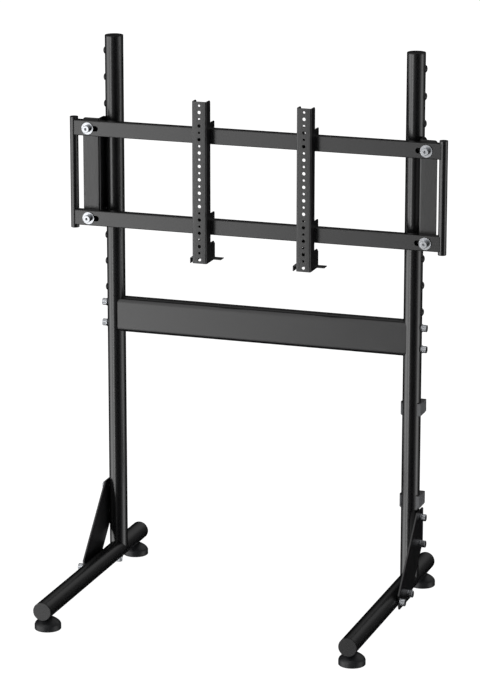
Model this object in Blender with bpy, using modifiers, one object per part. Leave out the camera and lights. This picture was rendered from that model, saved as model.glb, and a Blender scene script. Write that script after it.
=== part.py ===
"""Monitor stand: two round posts on long foot tubes carry two rails, with two hook-on screen arms.

Metres, +Z up. The screen hangs on the -Y side. The origin is on the floor, under the middle of the
stand. Distances "in front" and "behind" are measured along Y from the posts' axes.
"""

import math

import bmesh
import bpy
from mathutils import Matrix, Vector

# Clearances
TOUCH = 0.0003  # between faces that rest on each other
PLAY = 0.0003  # round a shank, pin, stem or insert, on the radius
CUT_PAST = 0.005  # how far the drills and cutters reach past a face

# Posts and foot tubes
STAND_HEIGHT = 1.658
POST_SPACING = 0.928
TUBE_RADIUS = 0.0275
TUBE_WALL = 0.002
FOOT_FRONT = 0.6297
FOOT_REAR = 0.1834
POST_CAP_FLANGE = 0.0025
FOOT_CAP_FLANGE = 0.004
CAP_INSERT = 0.020
CAP_EDGE = 0.0012

# Levelling feet
LEVELLER_RADIUS = 0.039
LEVELLER_HEIGHT = 0.0377
LEVELLER_RIM = 0.015
LEVELLER_NECK = 0.012
LEVELLER_CROWN = 0.6  # exponent of the bell's curve; 1 would be a cone
LEVELLER_FRONT_INSET = 0.0456
LEVELLER_REAR_INSET = 0.0394
STUD_RADIUS = 0.005
STUD_LENGTH = 0.038
STUD_NUT_RADIUS = 0.010
STUD_NUT_HEIGHT = 0.012

# Row of holes down the outer side of each post
POST_HOLE_TOP = 0.047
POST_HOLE_PITCH = 0.080
POST_HOLE_COUNT = 10
BRACKET_HOLES = (3, 6)
PLUG_HOLES = (0, 1, 2, 7, 8)
PLUG_RADIUS = 0.011
PLUG_HEIGHT = 0.0055
PLUG_STEM = 0.009

# Socket-head bolts and washers
BOLT_HEAD_RADIUS = 0.0105
BOLT_HEAD_HEIGHT = 0.014
BOLT_HEAD_CHAMFER = 0.0012
BOLT_SHANK_RADIUS = 0.007
BOLT_SOCKET_WIDTH = 0.008
BOLT_SOCKET_DEPTH = 0.007
BOLT_GRIP = 0.018  # shank left beyond the last sheet that it holds
WASHER_RADIUS = 0.012
WASHER_THICKNESS = 0.002
RAIL_WASHER_RADIUS = 0.01825
RAIL_WASHER_THICKNESS = 0.0025

# Gussets between posts and foot tubes; heights are measured from the foot tubes' axes
GUSSET_SHEET = 0.005
GUSSET_BOLT_PITCH = 0.082
GUSSET_POST_BOLT_HEIGHT = 0.1965
GUSSET_FOOT_BOLT_FRONT = 0.129
GUSSET_TOP_MARGIN = 0.024
GUSSET_FRONT_MARGIN = 0.034
GUSSET_REAR_MARGIN = 0.028
GUSSET_HEEL_MARGIN = 0.031
GUSSET_FOOT_MARGIN = 0.0225
GUSSET_TOE_MARGIN = 0.004
GUSSET_TOE_SLANT = 0.007
GUSSET_CORNER = 0.004

# Crossbar
CROSSBAR_BELOW_HOLES = 0.0805
CROSSBAR_HEIGHT = 0.105
CROSSBAR_DEPTH = 0.050
CROSSBAR_WALL = 0.002
CROSSBAR_CORNER = 0.014
CROSSBAR_BOLT_MARGIN = 0.0205  # from the top or the underside to the middle of a bolt
CROSSBAR_PLATE = 0.006
CROSSBAR_PLATE_INSET = 0.006

# Brackets on the posts' outer sides
BRACKET_SHEET = 0.004
BRACKET_BEND = 0.002
BRACKET_FRONT = 0.0538
BRACKET_REAR = 0.027
BRACKET_WIDTH = 0.0532
BRACKET_ABOVE_BOLT = 0.044
BRACKET_BELOW_BOLT = 0.0422
BRACKET_CORNER = 0.008
BRACKET_POST_CORNER = 0.045  # rear corners of the flange on the post
WELD_NUT_RADIUS = 0.0115
WELD_NUT_HEIGHT = 0.010

# Rails
RAIL_HEIGHT = 0.046
RAIL_DEPTH = 0.026
RAIL_WALL = 0.002
RAIL_CORNER = 0.003
RAIL_SPACING = 0.2717
RAIL_END_LAP = 0.005  # how far a coped end stays short of the end tube's axis
RAIL_BOLT_OUT = 0.056
SLOT_RADIUS = 0.00835
SLOT_INNER = 0.033
SLOT_OUTER = 0.017

# End tubes, upright across the rails' ends
END_TUBE_OUT = 0.1037  # from a post's axis to the end tube's axis
END_TUBE_RADIUS = 0.0125
END_TUBE_WALL = 0.002
END_TUBE_ABOVE_RAIL = 0.0087
END_TUBE_BELOW_RAIL = 0.0101

# Screen arms
ARM_X = {"left": -0.1571, "right": 0.1635}
ARM_WIDTH = 0.045
ARM_SHEET = 0.0025
ARM_BEND = 0.0015
ARM_HEIGHT = 0.484
ARM_BELOW_RAIL = 0.0806
ARM_DEPTH = 0.0361
ARM_HOLE_PITCH = 0.020
ARM_HOLE_MARGIN = 0.0115  # least height from an end to the middle of a hole
ARM_SMALL_HOLE = 0.0035
ARM_LARGE_HOLE = 0.005
HOOK_BAND = 0.019
HOOK_BACK = 0.010
HOOK_DROP = 0.018
HOOK_CORNER = 0.006
ARM_TOP_CORNER = 0.008
ARM_FOOT_BACK = 0.0126
ARM_FOOT_HEIGHT = 0.048
ARM_FOOT_CHAMFER_BACK = 0.0115
ARM_FOOT_CHAMFER_HEIGHT = 0.0095

# Latches, one in the lower end of each arm
LATCH_SHEET = 0.0025
LATCH_BEND = 0.001
LATCH_SIDE_GAP = 0.003
LATCH_PIN_RADIUS = 0.004
LATCH_PIN_END = 0.0012
LATCH_PIVOT_IN = 0.0079
LATCH_PIVOT_UP = 0.0336
LATCH_LEG_FRONT = 0.0063
LATCH_NOSE = 0.010
LATCH_KNEE_HEIGHT = 0.022
LATCH_TAB_DROP = 0.0012
LATCH_TAB_START = 0.0015
LATCH_TAB_DEPTH = 0.028
LATCH_TAB_RIGHT = 0.040
LATCH_TAB_LEFT = 0.057
LATCH_LIP = 0.018

# Cable clips on the right post
CLIP_BELOW_CROSSBAR = 0.142
CLIP_ABOVE_GUSSET = 0.0085
CLIP_HEIGHT = 0.037
CLIP_WALL = 0.0042
CLIP_MOUTH = 0.020
CLIP_BLOCK_SIDE = 0.0052  # past the bore, outwards
CLIP_BLOCK_REAR = 0.017  # past the bore, to the rear
CLIP_CORNER = 0.003
CABLE_HOLE_RADIUS = 0.005
CABLE_HOLE_INSET = 0.0068
CABLE_SLOT = 0.006

# Facets
TUBE_STEPS = 20
HOLE_STEPS = 8
BOLT_STEPS = 10
HEXAGON = 6
TURNED_STEPS = 16
BELL_STEPS = 3
DOME_STEPS = 2
BEND_STEPS = 2
CORNER_STEPS = 3
SHARP_ANGLE = 35  # degrees between faces from which an edge stays sharp

# Places that follow from the sizes
SIDES = {"left": -1, "right": 1}
POST_X = POST_SPACING / 2
POST_Y = (FOOT_FRONT - FOOT_REAR) / 2
FOOT_END = (FOOT_FRONT + FOOT_REAR) / 2
FOOT_Z = LEVELLER_HEIGHT + TOUCH + TUBE_RADIUS
LEVELLER_Y = {"front": LEVELLER_FRONT_INSET - FOOT_END, "rear": FOOT_END - LEVELLER_REAR_INSET}
BOLT_HOLE_RADIUS = BOLT_SHANK_RADIUS + PLAY
GUSSET_Z = FOOT_Z + GUSSET_POST_BOLT_HEIGHT
RAIL_REAR_Y = POST_Y - BRACKET_FRONT - TOUCH
RAIL_FRONT_Y = RAIL_REAR_Y - RAIL_DEPTH
END_TUBE_X = POST_X + END_TUBE_OUT
RAIL_END_X = END_TUBE_X - RAIL_END_LAP
RAIL_BOLT_X = POST_X + RAIL_BOLT_OUT
ARM_BACK_Y = RAIL_FRONT_Y - TOUCH
ARM_FRONT_Y = ARM_BACK_Y - ARM_DEPTH


def post_hole_z(index):
    """Height of a hole in the posts' row, counted from the top."""
    return STAND_HEIGHT - POST_HOLE_TOP - index * POST_HOLE_PITCH


BRACKET_TOP = post_hole_z(BRACKET_HOLES[0]) + BRACKET_ABOVE_BOLT
BRACKET_BOTTOM = post_hole_z(BRACKET_HOLES[1]) - BRACKET_BELOW_BOLT
RAIL_MIDDLE = (BRACKET_TOP + BRACKET_BOTTOM) / 2
RAIL_Z = {"upper": RAIL_MIDDLE + RAIL_SPACING / 2, "lower": RAIL_MIDDLE - RAIL_SPACING / 2}
LOWER_RAIL_BOTTOM = RAIL_Z["lower"] - RAIL_HEIGHT / 2
ARM_BOTTOM = LOWER_RAIL_BOTTOM - ARM_BELOW_RAIL
ARM_TOP = ARM_BOTTOM + ARM_HEIGHT
ARM_HOLE_COUNT = int((ARM_HEIGHT - 2 * ARM_HOLE_MARGIN) / ARM_HOLE_PITCH) + 1
ARM_HOLE_TOP = (ARM_TOP + ARM_BOTTOM + (ARM_HOLE_COUNT - 1) * ARM_HOLE_PITCH) / 2
LATCH_Y = RAIL_REAR_Y - LATCH_PIVOT_IN
LATCH_Z = ARM_BOTTOM + LATCH_PIVOT_UP
CROSSBAR_Z = post_hole_z(POST_HOLE_COUNT - 1) - CROSSBAR_BELOW_HOLES
CLIP_BOTTOMS = {
    "upper": CROSSBAR_Z - CROSSBAR_HEIGHT / 2 - CLIP_BELOW_CROSSBAR - CLIP_HEIGHT,
    "lower": GUSSET_Z + GUSSET_TOP_MARGIN + CLIP_ABOVE_GUSSET,
}
CLIP_BORE = TUBE_RADIUS + TOUCH


# Scene set-up

for old in list(bpy.data.objects):
    bpy.data.objects.remove(old)

STAND = bpy.data.collections.new("monitor_stand")
CUTTERS = bpy.data.collections.new("cutters")
for collection in (STAND, CUTTERS):
    bpy.context.scene.collection.children.link(collection)


def make_material(name, colour, metallic, roughness):
    """A Principled BSDF material."""
    material = bpy.data.materials.new(name)
    material.use_nodes = True
    shader = material.node_tree.nodes["Principled BSDF"]
    shader.inputs["Base Color"].default_value = (*colour, 1)
    shader.inputs["Metallic"].default_value = metallic
    shader.inputs["Roughness"].default_value = roughness
    return material


COAT = make_material("black_powder_coat", (0.022, 0.022, 0.023), 0.0, 0.42)
ZINC = make_material("zinc_plated_steel", (0.78, 0.79, 0.80), 1.0, 0.28)
PLASTIC = make_material("black_plastic", (0.018, 0.018, 0.018), 0.0, 0.5)
NYLON = make_material("grey_black_nylon", (0.05, 0.05, 0.052), 0.0, 0.45)


# Shapes

def circle(radius, steps=TUBE_STEPS):
    """Closed outline of a circle."""
    turns = (math.tau * i / steps for i in range(steps))
    return [(radius * math.cos(turn), radius * math.sin(turn)) for turn in turns]


def rounded(corners, steps=BEND_STEPS):
    """Closed outline through corners (u, v, radius), each rounded by an arc."""
    outline = []
    for before, corner, after in zip(corners[-1:] + corners[:-1], corners, corners[1:] + corners[:1]):
        tip, radius = Vector(corner[:2]), corner[2]
        back = (Vector(before[:2]) - tip).normalized()
        ahead = (Vector(after[:2]) - tip).normalized()
        if radius == 0:
            outline.append(tuple(tip))
            continue
        half_angle = back.angle(ahead) / 2
        centre = tip + (back + ahead).normalized() * radius / math.sin(half_angle)
        start = (tip + back * radius / math.tan(half_angle) - centre).normalized()
        end = (tip + ahead * radius / math.tan(half_angle) - centre).normalized()
        outline += [tuple(centre + start.slerp(end, i / steps) * radius) for i in range(steps + 1)]
    return outline


def rounded_rectangle(width, height, radius, centre=(0, 0), steps=BEND_STEPS):
    """Closed outline of a rectangle with rounded corners."""
    u, v = width / 2, height / 2
    signs = ((1, 1), (-1, 1), (-1, -1), (1, -1))
    return rounded([(centre[0] + a * u, centre[1] + b * v, radius) for a, b in signs], steps)


def bent_sheet(path, sheet, bend):
    """Closed outline of a sheet on the left of a path along one of its faces, with round bends."""
    points = [Vector(point) for point in path]
    runs = [(b - a).normalized() for a, b in zip(points, points[1:])]
    normals = [Vector((-run.y, run.x)) for run in runs]
    near = [(*points[0], 0)]
    far = [(*(points[0] + normals[0] * sheet), 0)]
    for point, before, after, run, turn in zip(points[1:], normals, normals[1:], runs, runs[1:]):
        inner, outer = (bend, bend + sheet) if run.cross(turn) < 0 else (bend + sheet, bend)
        mitre = (before + after) * sheet / (1 + before.dot(after))
        near.append((*point, inner))
        far.append((*(point + mitre), outer))
    near.append((*points[-1], 0))
    far.append((*(points[-1] + normals[-1] * sheet), 0))
    return rounded(near + far[::-1])


def bake(obj):
    """The mesh of an object with its modifiers; the object itself is removed."""
    bpy.context.view_layer.update()
    mesh = bpy.data.meshes.new_from_object(obj.evaluated_get(bpy.context.evaluated_depsgraph_get()))
    bpy.data.objects.remove(obj)
    return mesh


# Axes that an outline's u, v and depth run along, for each direction of extrusion
OUTLINE_AXES = {
    "X": Matrix(((0, 0, 1), (1, 0, 0), (0, 1, 0))),
    "Y": Matrix(((1, 0, 0), (0, 0, -1), (0, 1, 0))),
    "Z": Matrix.Identity(3),
}


def extruded(loops, axis, start, end):
    """Solid of closed outlines, extruded along an axis from start to end."""
    curve = bpy.data.curves.new("outline", "CURVE")
    curve.dimensions = "2D"
    curve.fill_mode = "BOTH"
    curve.extrude = abs(end - start) / 2
    for loop in loops:
        spline = curve.splines.new("POLY")
        spline.points.add(len(loop) - 1)
        spline.use_cyclic_u = True
        for point, (u, v) in zip(spline.points, loop):
            point.co = (u, v, 0, 1)
    outline = bpy.data.objects.new("outline", curve)
    STAND.objects.link(outline)
    middle = Vector([(start + end) / 2 if axis == letter else 0 for letter in "XYZ"])
    place = Matrix.Translation(middle) @ OUTLINE_AXES[axis].to_4x4()
    mesh = bake(outline)
    solid = bmesh.new()
    solid.from_mesh(mesh)
    bmesh.ops.remove_doubles(solid, verts=solid.verts, dist=1e-6)
    bmesh.ops.recalc_face_normals(solid, faces=solid.faces)
    bmesh.ops.transform(solid, matrix=place, verts=solid.verts)
    solid.to_mesh(mesh)
    solid.free()
    return mesh


def turned(profile, steps=TURNED_STEPS):
    """Solid of revolution about Z; the profile (radius, height) runs from the top to the bottom."""
    mesh = bpy.data.meshes.new("profile")
    edges = [(i, i + 1) for i in range(len(profile) - 1)]
    mesh.from_pydata([(radius, 0, height) for radius, height in profile], edges, [])
    obj = bpy.data.objects.new("profile", mesh)
    STAND.objects.link(obj)
    screw = obj.modifiers.new("Screw", "SCREW")
    screw.steps = screw.render_steps = steps
    screw.use_merge_vertices = True
    screw.merge_threshold = 1e-6
    return bake(obj)


def rods(places, radius, steps=HOLE_STEPS):
    """Mesh of equal cylinders, one for each pair of end points."""
    solid = bmesh.new()
    for start, end in places:
        along = Vector(end) - Vector(start)
        middle = Matrix.Translation((Vector(start) + Vector(end)) / 2)
        place = middle @ along.to_track_quat("Z", "Y").to_matrix().to_4x4()
        bmesh.ops.create_cone(
            solid,
            cap_ends=True,
            segments=steps,
            radius1=radius,
            radius2=radius,
            depth=along.length,
            matrix=place,
        )
    mesh = bpy.data.meshes.new("rods")
    solid.to_mesh(mesh)
    solid.free()
    return mesh


def bores(places, radius):
    """Cylinders for holes: their flats, and not only their corners, clear the radius."""
    return rods(places, radius / math.cos(math.pi / HOLE_STEPS))


def add_piece(name, mesh, material, location=(0, 0, 0), rotation=(0, 0, 0), parent=None):
    """A named piece of the stand."""
    mesh.shade_smooth()
    mesh.set_sharp_from_angle(angle=math.radians(SHARP_ANGLE))
    if not mesh.materials:
        mesh.materials.append(material)
    piece = bpy.data.objects.new(name, mesh)
    piece.location = location
    piece.rotation_euler = rotation
    piece.parent = parent
    STAND.objects.link(piece)
    return piece


def combine(piece, operation, label, mesh):
    """Boolean of a piece with a tool mesh that is given in the piece's own coordinates."""
    tool = bpy.data.objects.new(f"{piece.name}_{label}", mesh)
    tool.parent = piece
    tool.hide_render = True
    tool.display_type = "WIRE"
    CUTTERS.objects.link(tool)
    boolean = piece.modifiers.new(label, "BOOLEAN")
    boolean.operation = operation
    boolean.solver = "EXACT"
    boolean.object = tool


# Fasteners

def facing(side):
    """Rotation that turns a piece's +Z outwards, to the left or to the right."""
    return (0, side * math.pi / 2, 0)


def make_bolt(name, length, washer_radius, washer_thickness):
    """Socket-head bolt with its washer; the origin is under the washer and the shank runs down."""
    head_top = washer_thickness + BOLT_HEAD_HEIGHT
    mesh = turned(
        [
            (0, head_top),
            (BOLT_HEAD_RADIUS - BOLT_HEAD_CHAMFER, head_top),
            (BOLT_HEAD_RADIUS, head_top - BOLT_HEAD_CHAMFER),
            (BOLT_HEAD_RADIUS, washer_thickness),
            (washer_radius, washer_thickness),
            (washer_radius, 0),
            (BOLT_SHANK_RADIUS, 0),
            (BOLT_SHANK_RADIUS, -length),
            (0, -length),
        ],
        BOLT_STEPS,
    )
    bolt = add_piece(name, mesh, ZINC)
    across_corners = BOLT_SOCKET_WIDTH / math.cos(math.pi / HEXAGON)
    socket = [((0, 0, head_top - BOLT_SOCKET_DEPTH), (0, 0, head_top + CUT_PAST))]
    combine(bolt, "DIFFERENCE", "socket", rods(socket, across_corners / 2, HEXAGON))
    return bake(bolt)


def add_bolts(name, mesh, places, rotation):
    """Bolts that share a mesh, one at each named place."""
    for label, place in places.items():
        add_piece(f"{name}_{label}", mesh, ZINC, place, rotation)


# Posts

def add_post(label, side):
    """Round post: saddle at the foot, a row of holes outside, and the crossbar's bolt holes."""
    top = STAND_HEIGHT - POST_CAP_FLANGE - TOUCH
    rings = [circle(TUBE_RADIUS), circle(TUBE_RADIUS - TUBE_WALL)]
    post = add_piece(f"post_{label}", extruded(rings, "Z", FOOT_Z, top), COAT, (side * POST_X, POST_Y, 0))
    past = TUBE_RADIUS + CUT_PAST
    foot_tube = rods([((0, -past, FOOT_Z), (0, past, FOOT_Z))], TUBE_RADIUS + TOUCH, TUBE_STEPS)
    combine(post, "DIFFERENCE", "saddle", foot_tube)
    outside = side * past
    heights = [post_hole_z(i) for i in range(POST_HOLE_COUNT)]
    heights += [GUSSET_Z, GUSSET_Z - GUSSET_BOLT_PITCH]
    outer_holes = [((0, 0, z), (outside, 0, z)) for z in heights]
    through_holes = [((-outside, 0, z), (outside, 0, z)) for z in crossbar_bolt_heights().values()]
    combine(post, "DIFFERENCE", "holes", bores(outer_holes + through_holes, BOLT_HOLE_RADIUS))


def cap_mesh(flange):
    """Push-in cap: a flange of the tube's diameter on an insert, origin at the insert's end."""
    insert = TUBE_RADIUS - TUBE_WALL - PLAY
    outer = CAP_INSERT + TOUCH + flange
    return turned(
        [
            (0, outer),
            (TUBE_RADIUS - CAP_EDGE, outer),
            (TUBE_RADIUS, outer - CAP_EDGE),
            (TUBE_RADIUS, CAP_INSERT + TOUCH),
            (insert, CAP_INSERT + TOUCH),
            (insert, 0),
            (0, 0),
        ],
        TUBE_STEPS,
    )


def add_post_caps():
    mesh = cap_mesh(POST_CAP_FLANGE)
    base = STAND_HEIGHT - POST_CAP_FLANGE - TOUCH - CAP_INSERT
    for label, side in SIDES.items():
        add_piece(f"post_cap_{label}", mesh, PLASTIC, (side * POST_X, POST_Y, base))


def plug_mesh():
    """Domed hole plug; the underside of its head is hollowed to the post, origin on the post's axis."""
    seat = math.sqrt(TUBE_RADIUS**2 - PLUG_RADIUS**2)
    turns = [i * math.pi / 2 / DOME_STEPS for i in range(DOME_STEPS + 1)]
    dome = [(PLUG_RADIUS * math.sin(turn), TUBE_RADIUS + PLUG_HEIGHT * math.cos(turn)) for turn in turns]
    mesh = turned([*dome, (PLUG_RADIUS, seat - TOUCH), (0, seat - TOUCH)], HOLE_STEPS)
    plug = add_piece("plug", mesh, PLASTIC)
    past = PLUG_RADIUS + CUT_PAST
    post = rods([((0, -past, 0), (0, past, 0))], TUBE_RADIUS + TOUCH, TUBE_STEPS)
    combine(plug, "DIFFERENCE", "post", post)
    stem = rods([((0, 0, TUBE_RADIUS - PLUG_STEM), (0, 0, TUBE_RADIUS + PLUG_HEIGHT / 2))], BOLT_SHANK_RADIUS)
    combine(plug, "UNION", "stem", stem)
    return bake(plug)


def add_plugs():
    mesh = plug_mesh()
    upright = math.pi / 2
    for label, side in SIDES.items():
        for index in PLUG_HOLES:
            place = (side * POST_X, POST_Y, post_hole_z(index))
            add_piece(f"plug_{label}_{index + 1}", mesh, PLASTIC, place, (upright, 0, side * upright))


# Foot tubes

def gusset_foot_bolts():
    """Y of the two bolts that hold a gusset to its foot tube."""
    rear = POST_Y - GUSSET_FOOT_BOLT_FRONT
    return (rear, rear - GUSSET_BOLT_PITCH)


def add_foot_tube(label, side):
    """Foot tube along Y, with a nut welded inside over each levelling foot."""
    end = FOOT_END - FOOT_CAP_FLANGE - TOUCH
    rings = [circle(TUBE_RADIUS), circle(TUBE_RADIUS - TUBE_WALL)]
    tube = add_piece(f"foot_tube_{label}", extruded(rings, "Y", -end, end), COAT, (side * POST_X, 0, FOOT_Z))
    floor = TUBE_WALL / 2 - TUBE_RADIUS
    nut_top = TUBE_WALL - TUBE_RADIUS + STUD_NUT_HEIGHT
    nuts = [((0, y, floor), (0, y, nut_top)) for y in LEVELLER_Y.values()]
    combine(tube, "UNION", "nuts", rods(nuts, STUD_NUT_RADIUS))
    past = TUBE_RADIUS + CUT_PAST
    studs = [((0, y, -past), (0, y, 0)) for y in LEVELLER_Y.values()]
    combine(tube, "DIFFERENCE", "stud_holes", bores(studs, STUD_RADIUS + PLAY))
    bolts = [((0, y, 0), (side * past, y, 0)) for y in gusset_foot_bolts()]
    combine(tube, "DIFFERENCE", "bolt_holes", bores(bolts, BOLT_HOLE_RADIUS))


def add_foot_caps():
    mesh = cap_mesh(FOOT_CAP_FLANGE)
    inset = FOOT_END - FOOT_CAP_FLANGE - TOUCH - CAP_INSERT
    for label, side in SIDES.items():
        front = (side * POST_X, -inset, FOOT_Z)
        rear = (side * POST_X, inset, FOOT_Z)
        add_piece(f"foot_cap_{label}_front", mesh, PLASTIC, front, (math.pi / 2, 0, 0))
        add_piece(f"foot_cap_{label}_rear", mesh, PLASTIC, rear, (-math.pi / 2, 0, 0))


def add_levellers():
    """Bell-shaped levelling feet, each moulded on a threaded stud."""
    stud_top = LEVELLER_HEIGHT + TOUCH + TUBE_WALL + STUD_LENGTH
    shares = [i / BELL_STEPS for i in range(BELL_STEPS, -1, -1)]
    bell = [
        (
            LEVELLER_RADIUS - (LEVELLER_RADIUS - LEVELLER_NECK) * share,
            LEVELLER_RIM + (LEVELLER_HEIGHT - LEVELLER_RIM) * share**LEVELLER_CROWN,
        )
        for share in shares
    ]
    mesh = turned(
        [
            (0, stud_top),
            (STUD_RADIUS, stud_top),
            (STUD_RADIUS, LEVELLER_HEIGHT),
            *bell,
            (LEVELLER_RADIUS, 0),
            (0, 0),
        ]
    )
    for label, side in SIDES.items():
        for end, y in LEVELLER_Y.items():
            add_piece(f"leveller_{label}_{end}", mesh, NYLON, (side * POST_X, y, 0))


# Gussets

def gusset_outline():
    """Six-sided strut in Y and Z, drawn round its four bolts."""
    post_top = (POST_Y, GUSSET_Z)
    post_low = (POST_Y, GUSSET_Z - GUSSET_BOLT_PITCH)
    heel, toe = gusset_foot_bolts()
    corners = [
        (post_top[0] - GUSSET_FRONT_MARGIN, post_top[1] + GUSSET_TOP_MARGIN),
        (toe - GUSSET_TOE_MARGIN - GUSSET_TOE_SLANT, FOOT_Z + GUSSET_FOOT_MARGIN),
        (toe - GUSSET_TOE_MARGIN, FOOT_Z - GUSSET_FOOT_MARGIN),
        (heel + GUSSET_HEEL_MARGIN, FOOT_Z - GUSSET_FOOT_MARGIN),
        (post_low[0] + GUSSET_REAR_MARGIN, post_low[1] - GUSSET_CORNER / 2),
        (post_top[0] + GUSSET_REAR_MARGIN, post_top[1] + GUSSET_TOP_MARGIN),
    ]
    return rounded([(*corner, GUSSET_CORNER) for corner in corners])


def gusset_bolt_places():
    """Y and Z of a gusset's four bolts."""
    heel, toe = gusset_foot_bolts()
    return {
        "post_upper": (POST_Y, GUSSET_Z),
        "post_lower": (POST_Y, GUSSET_Z - GUSSET_BOLT_PITCH),
        "foot_rear": (heel, FOOT_Z),
        "foot_front": (toe, FOOT_Z),
    }


def add_gussets():
    """Flat struts on the outer sides, each with two bolts in the post and two in the foot tube."""
    inner = POST_X + TUBE_RADIUS + TOUCH
    outer = inner + GUSSET_SHEET
    bolt = make_bolt("gusset_bolt", GUSSET_SHEET + TUBE_WALL + BOLT_GRIP, WASHER_RADIUS, WASHER_THICKNESS)
    for label, side in SIDES.items():
        plate = extruded([gusset_outline()], "X", side * inner, side * outer)
        gusset = add_piece(f"gusset_{label}", plate, COAT)
        spots = gusset_bolt_places()
        holes = [((side * POST_X, y, z), (side * (outer + TUBE_RADIUS), y, z)) for y, z in spots.values()]
        combine(gusset, "DIFFERENCE", "bolt_holes", bores(holes, BOLT_HOLE_RADIUS))
        places = {spot: (side * (outer + TOUCH), y, z) for spot, (y, z) in spots.items()}
        add_bolts(f"gusset_bolt_{label}", bolt, places, facing(side))


# Crossbar

def crossbar_bolt_heights():
    """Heights of the two bolts at each end of the crossbar."""
    rise = CROSSBAR_HEIGHT / 2 - CROSSBAR_BOLT_MARGIN
    return {"upper": CROSSBAR_Z + rise, "lower": CROSSBAR_Z - rise}


def add_crossbar():
    """Flat-oval tube, coped to the posts, with a threaded plate inside each end."""
    outer = rounded_rectangle(CROSSBAR_DEPTH, CROSSBAR_HEIGHT, CROSSBAR_CORNER, steps=CORNER_STEPS)
    bore = (CROSSBAR_DEPTH - 2 * CROSSBAR_WALL, CROSSBAR_HEIGHT - 2 * CROSSBAR_WALL)
    inner = rounded_rectangle(*bore, CROSSBAR_CORNER - CROSSBAR_WALL, steps=CORNER_STEPS)
    plate = rounded_rectangle(
        bore[0] + CROSSBAR_WALL, bore[1] + CROSSBAR_WALL, CROSSBAR_CORNER - CROSSBAR_WALL / 2
    )
    bar = add_piece("crossbar", extruded([outer, inner], "X", -POST_X, POST_X), COAT, (0, POST_Y, CROSSBAR_Z))
    plate_outer = POST_X - TUBE_RADIUS - CROSSBAR_PLATE_INSET
    for label, side in SIDES.items():
        tool = extruded([plate], "X", side * (plate_outer - CROSSBAR_PLATE), side * plate_outer)
        combine(bar, "UNION", f"plate_{label}", tool)
    past = CROSSBAR_HEIGHT / 2 + CUT_PAST
    posts = [((side * POST_X, 0, -past), (side * POST_X, 0, past)) for side in SIDES.values()]
    combine(bar, "DIFFERENCE", "copes", rods(posts, TUBE_RADIUS + TOUCH, TUBE_STEPS))
    depth = plate_outer - 2 * CROSSBAR_PLATE
    bolts = [
        ((side * depth, 0, z - CROSSBAR_Z), (side * POST_X, 0, z - CROSSBAR_Z))
        for side in SIDES.values()
        for z in crossbar_bolt_heights().values()
    ]
    combine(bar, "DIFFERENCE", "bolt_holes", bores(bolts, BOLT_HOLE_RADIUS))
    head = POST_X + TUBE_RADIUS + TOUCH
    bolt = make_bolt("crossbar_bolt", head - depth, WASHER_RADIUS, WASHER_THICKNESS)
    for label, side in SIDES.items():
        places = {spot: (side * head, POST_Y, z) for spot, z in crossbar_bolt_heights().items()}
        add_bolts(f"crossbar_bolt_{label}", bolt, places, facing(side))


# Brackets and rails

def add_brackets():
    """Angle brackets: one flange on the post's outer side, the other behind the rails."""
    inner = POST_X + TUBE_RADIUS + TOUCH
    flange = inner + BRACKET_SHEET
    front = POST_Y - BRACKET_FRONT
    rear = POST_Y + BRACKET_REAR
    height = BRACKET_TOP - BRACKET_BOTTOM
    bolt = make_bolt("bracket_bolt", BRACKET_SHEET + TUBE_WALL + BOLT_GRIP, WASHER_RADIUS, WASHER_THICKNESS)
    for label, side in SIDES.items():
        path = [(side * inner, rear), (side * inner, front), (side * (inner + BRACKET_WIDTH), front)]
        section = bent_sheet(path[::-1] if side < 0 else path, BRACKET_SHEET, BRACKET_BEND)
        angle = extruded([section], "Z", BRACKET_BOTTOM, BRACKET_TOP)
        bracket = add_piece(f"bracket_{label}", angle, COAT)
        face = rounded_rectangle(2 * BRACKET_WIDTH, height, BRACKET_CORNER, (side * inner, RAIL_MIDDLE))
        rail_face = extruded([face], "Y", front - CUT_PAST, rear + CUT_PAST)
        combine(bracket, "INTERSECT", "rail_corners", rail_face)
        face = rounded_rectangle(
            2 * (rear - front), height, BRACKET_POST_CORNER, (front, RAIL_MIDDLE), 2 * CORNER_STEPS
        )
        post_face = extruded([face], "X", side * POST_X, side * (inner + BRACKET_WIDTH + CUT_PAST))
        combine(bracket, "INTERSECT", "post_corners", post_face)
        nut_front, nut_rear = front + BRACKET_SHEET / 2, front + BRACKET_SHEET + WELD_NUT_HEIGHT
        bolt_x = side * RAIL_BOLT_X
        nuts = [((bolt_x, nut_front, z), (bolt_x, nut_rear, z)) for z in RAIL_Z.values()]
        combine(bracket, "UNION", "weld_nuts", rods(nuts, WELD_NUT_RADIUS, HEXAGON))
        threads = [((bolt_x, front - CUT_PAST, z), (bolt_x, nut_rear + CUT_PAST, z)) for z in RAIL_Z.values()]
        flange_holes = [
            ((side * POST_X, POST_Y, post_hole_z(i)), (side * (flange + TUBE_RADIUS), POST_Y, post_hole_z(i)))
            for i in BRACKET_HOLES
        ]
        combine(bracket, "DIFFERENCE", "holes", bores(threads + flange_holes, BOLT_HOLE_RADIUS))
        places = {
            spot: (side * (flange + TOUCH), POST_Y, post_hole_z(i))
            for spot, i in zip(("upper", "lower"), BRACKET_HOLES)
        }
        add_bolts(f"bracket_bolt_{label}", bolt, places, facing(side))


def slot_outline(side):
    """Closed outline in X and Z of the slot at one end of a rail, with half-round ends."""
    outer = RAIL_BOLT_X + SLOT_OUTER - SLOT_RADIUS
    inner = RAIL_BOLT_X - SLOT_INNER + SLOT_RADIUS
    steps = 2 * CORNER_STEPS
    turns = [math.pi * (i / steps - 1 / 2) for i in range(steps + 1)]
    ends = [(outer + SLOT_RADIUS * math.cos(turn), SLOT_RADIUS * math.sin(turn)) for turn in turns]
    ends += [(inner - SLOT_RADIUS * math.cos(turn), -SLOT_RADIUS * math.sin(turn)) for turn in turns]
    return [(side * x, z) for x, z in ends]


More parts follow.
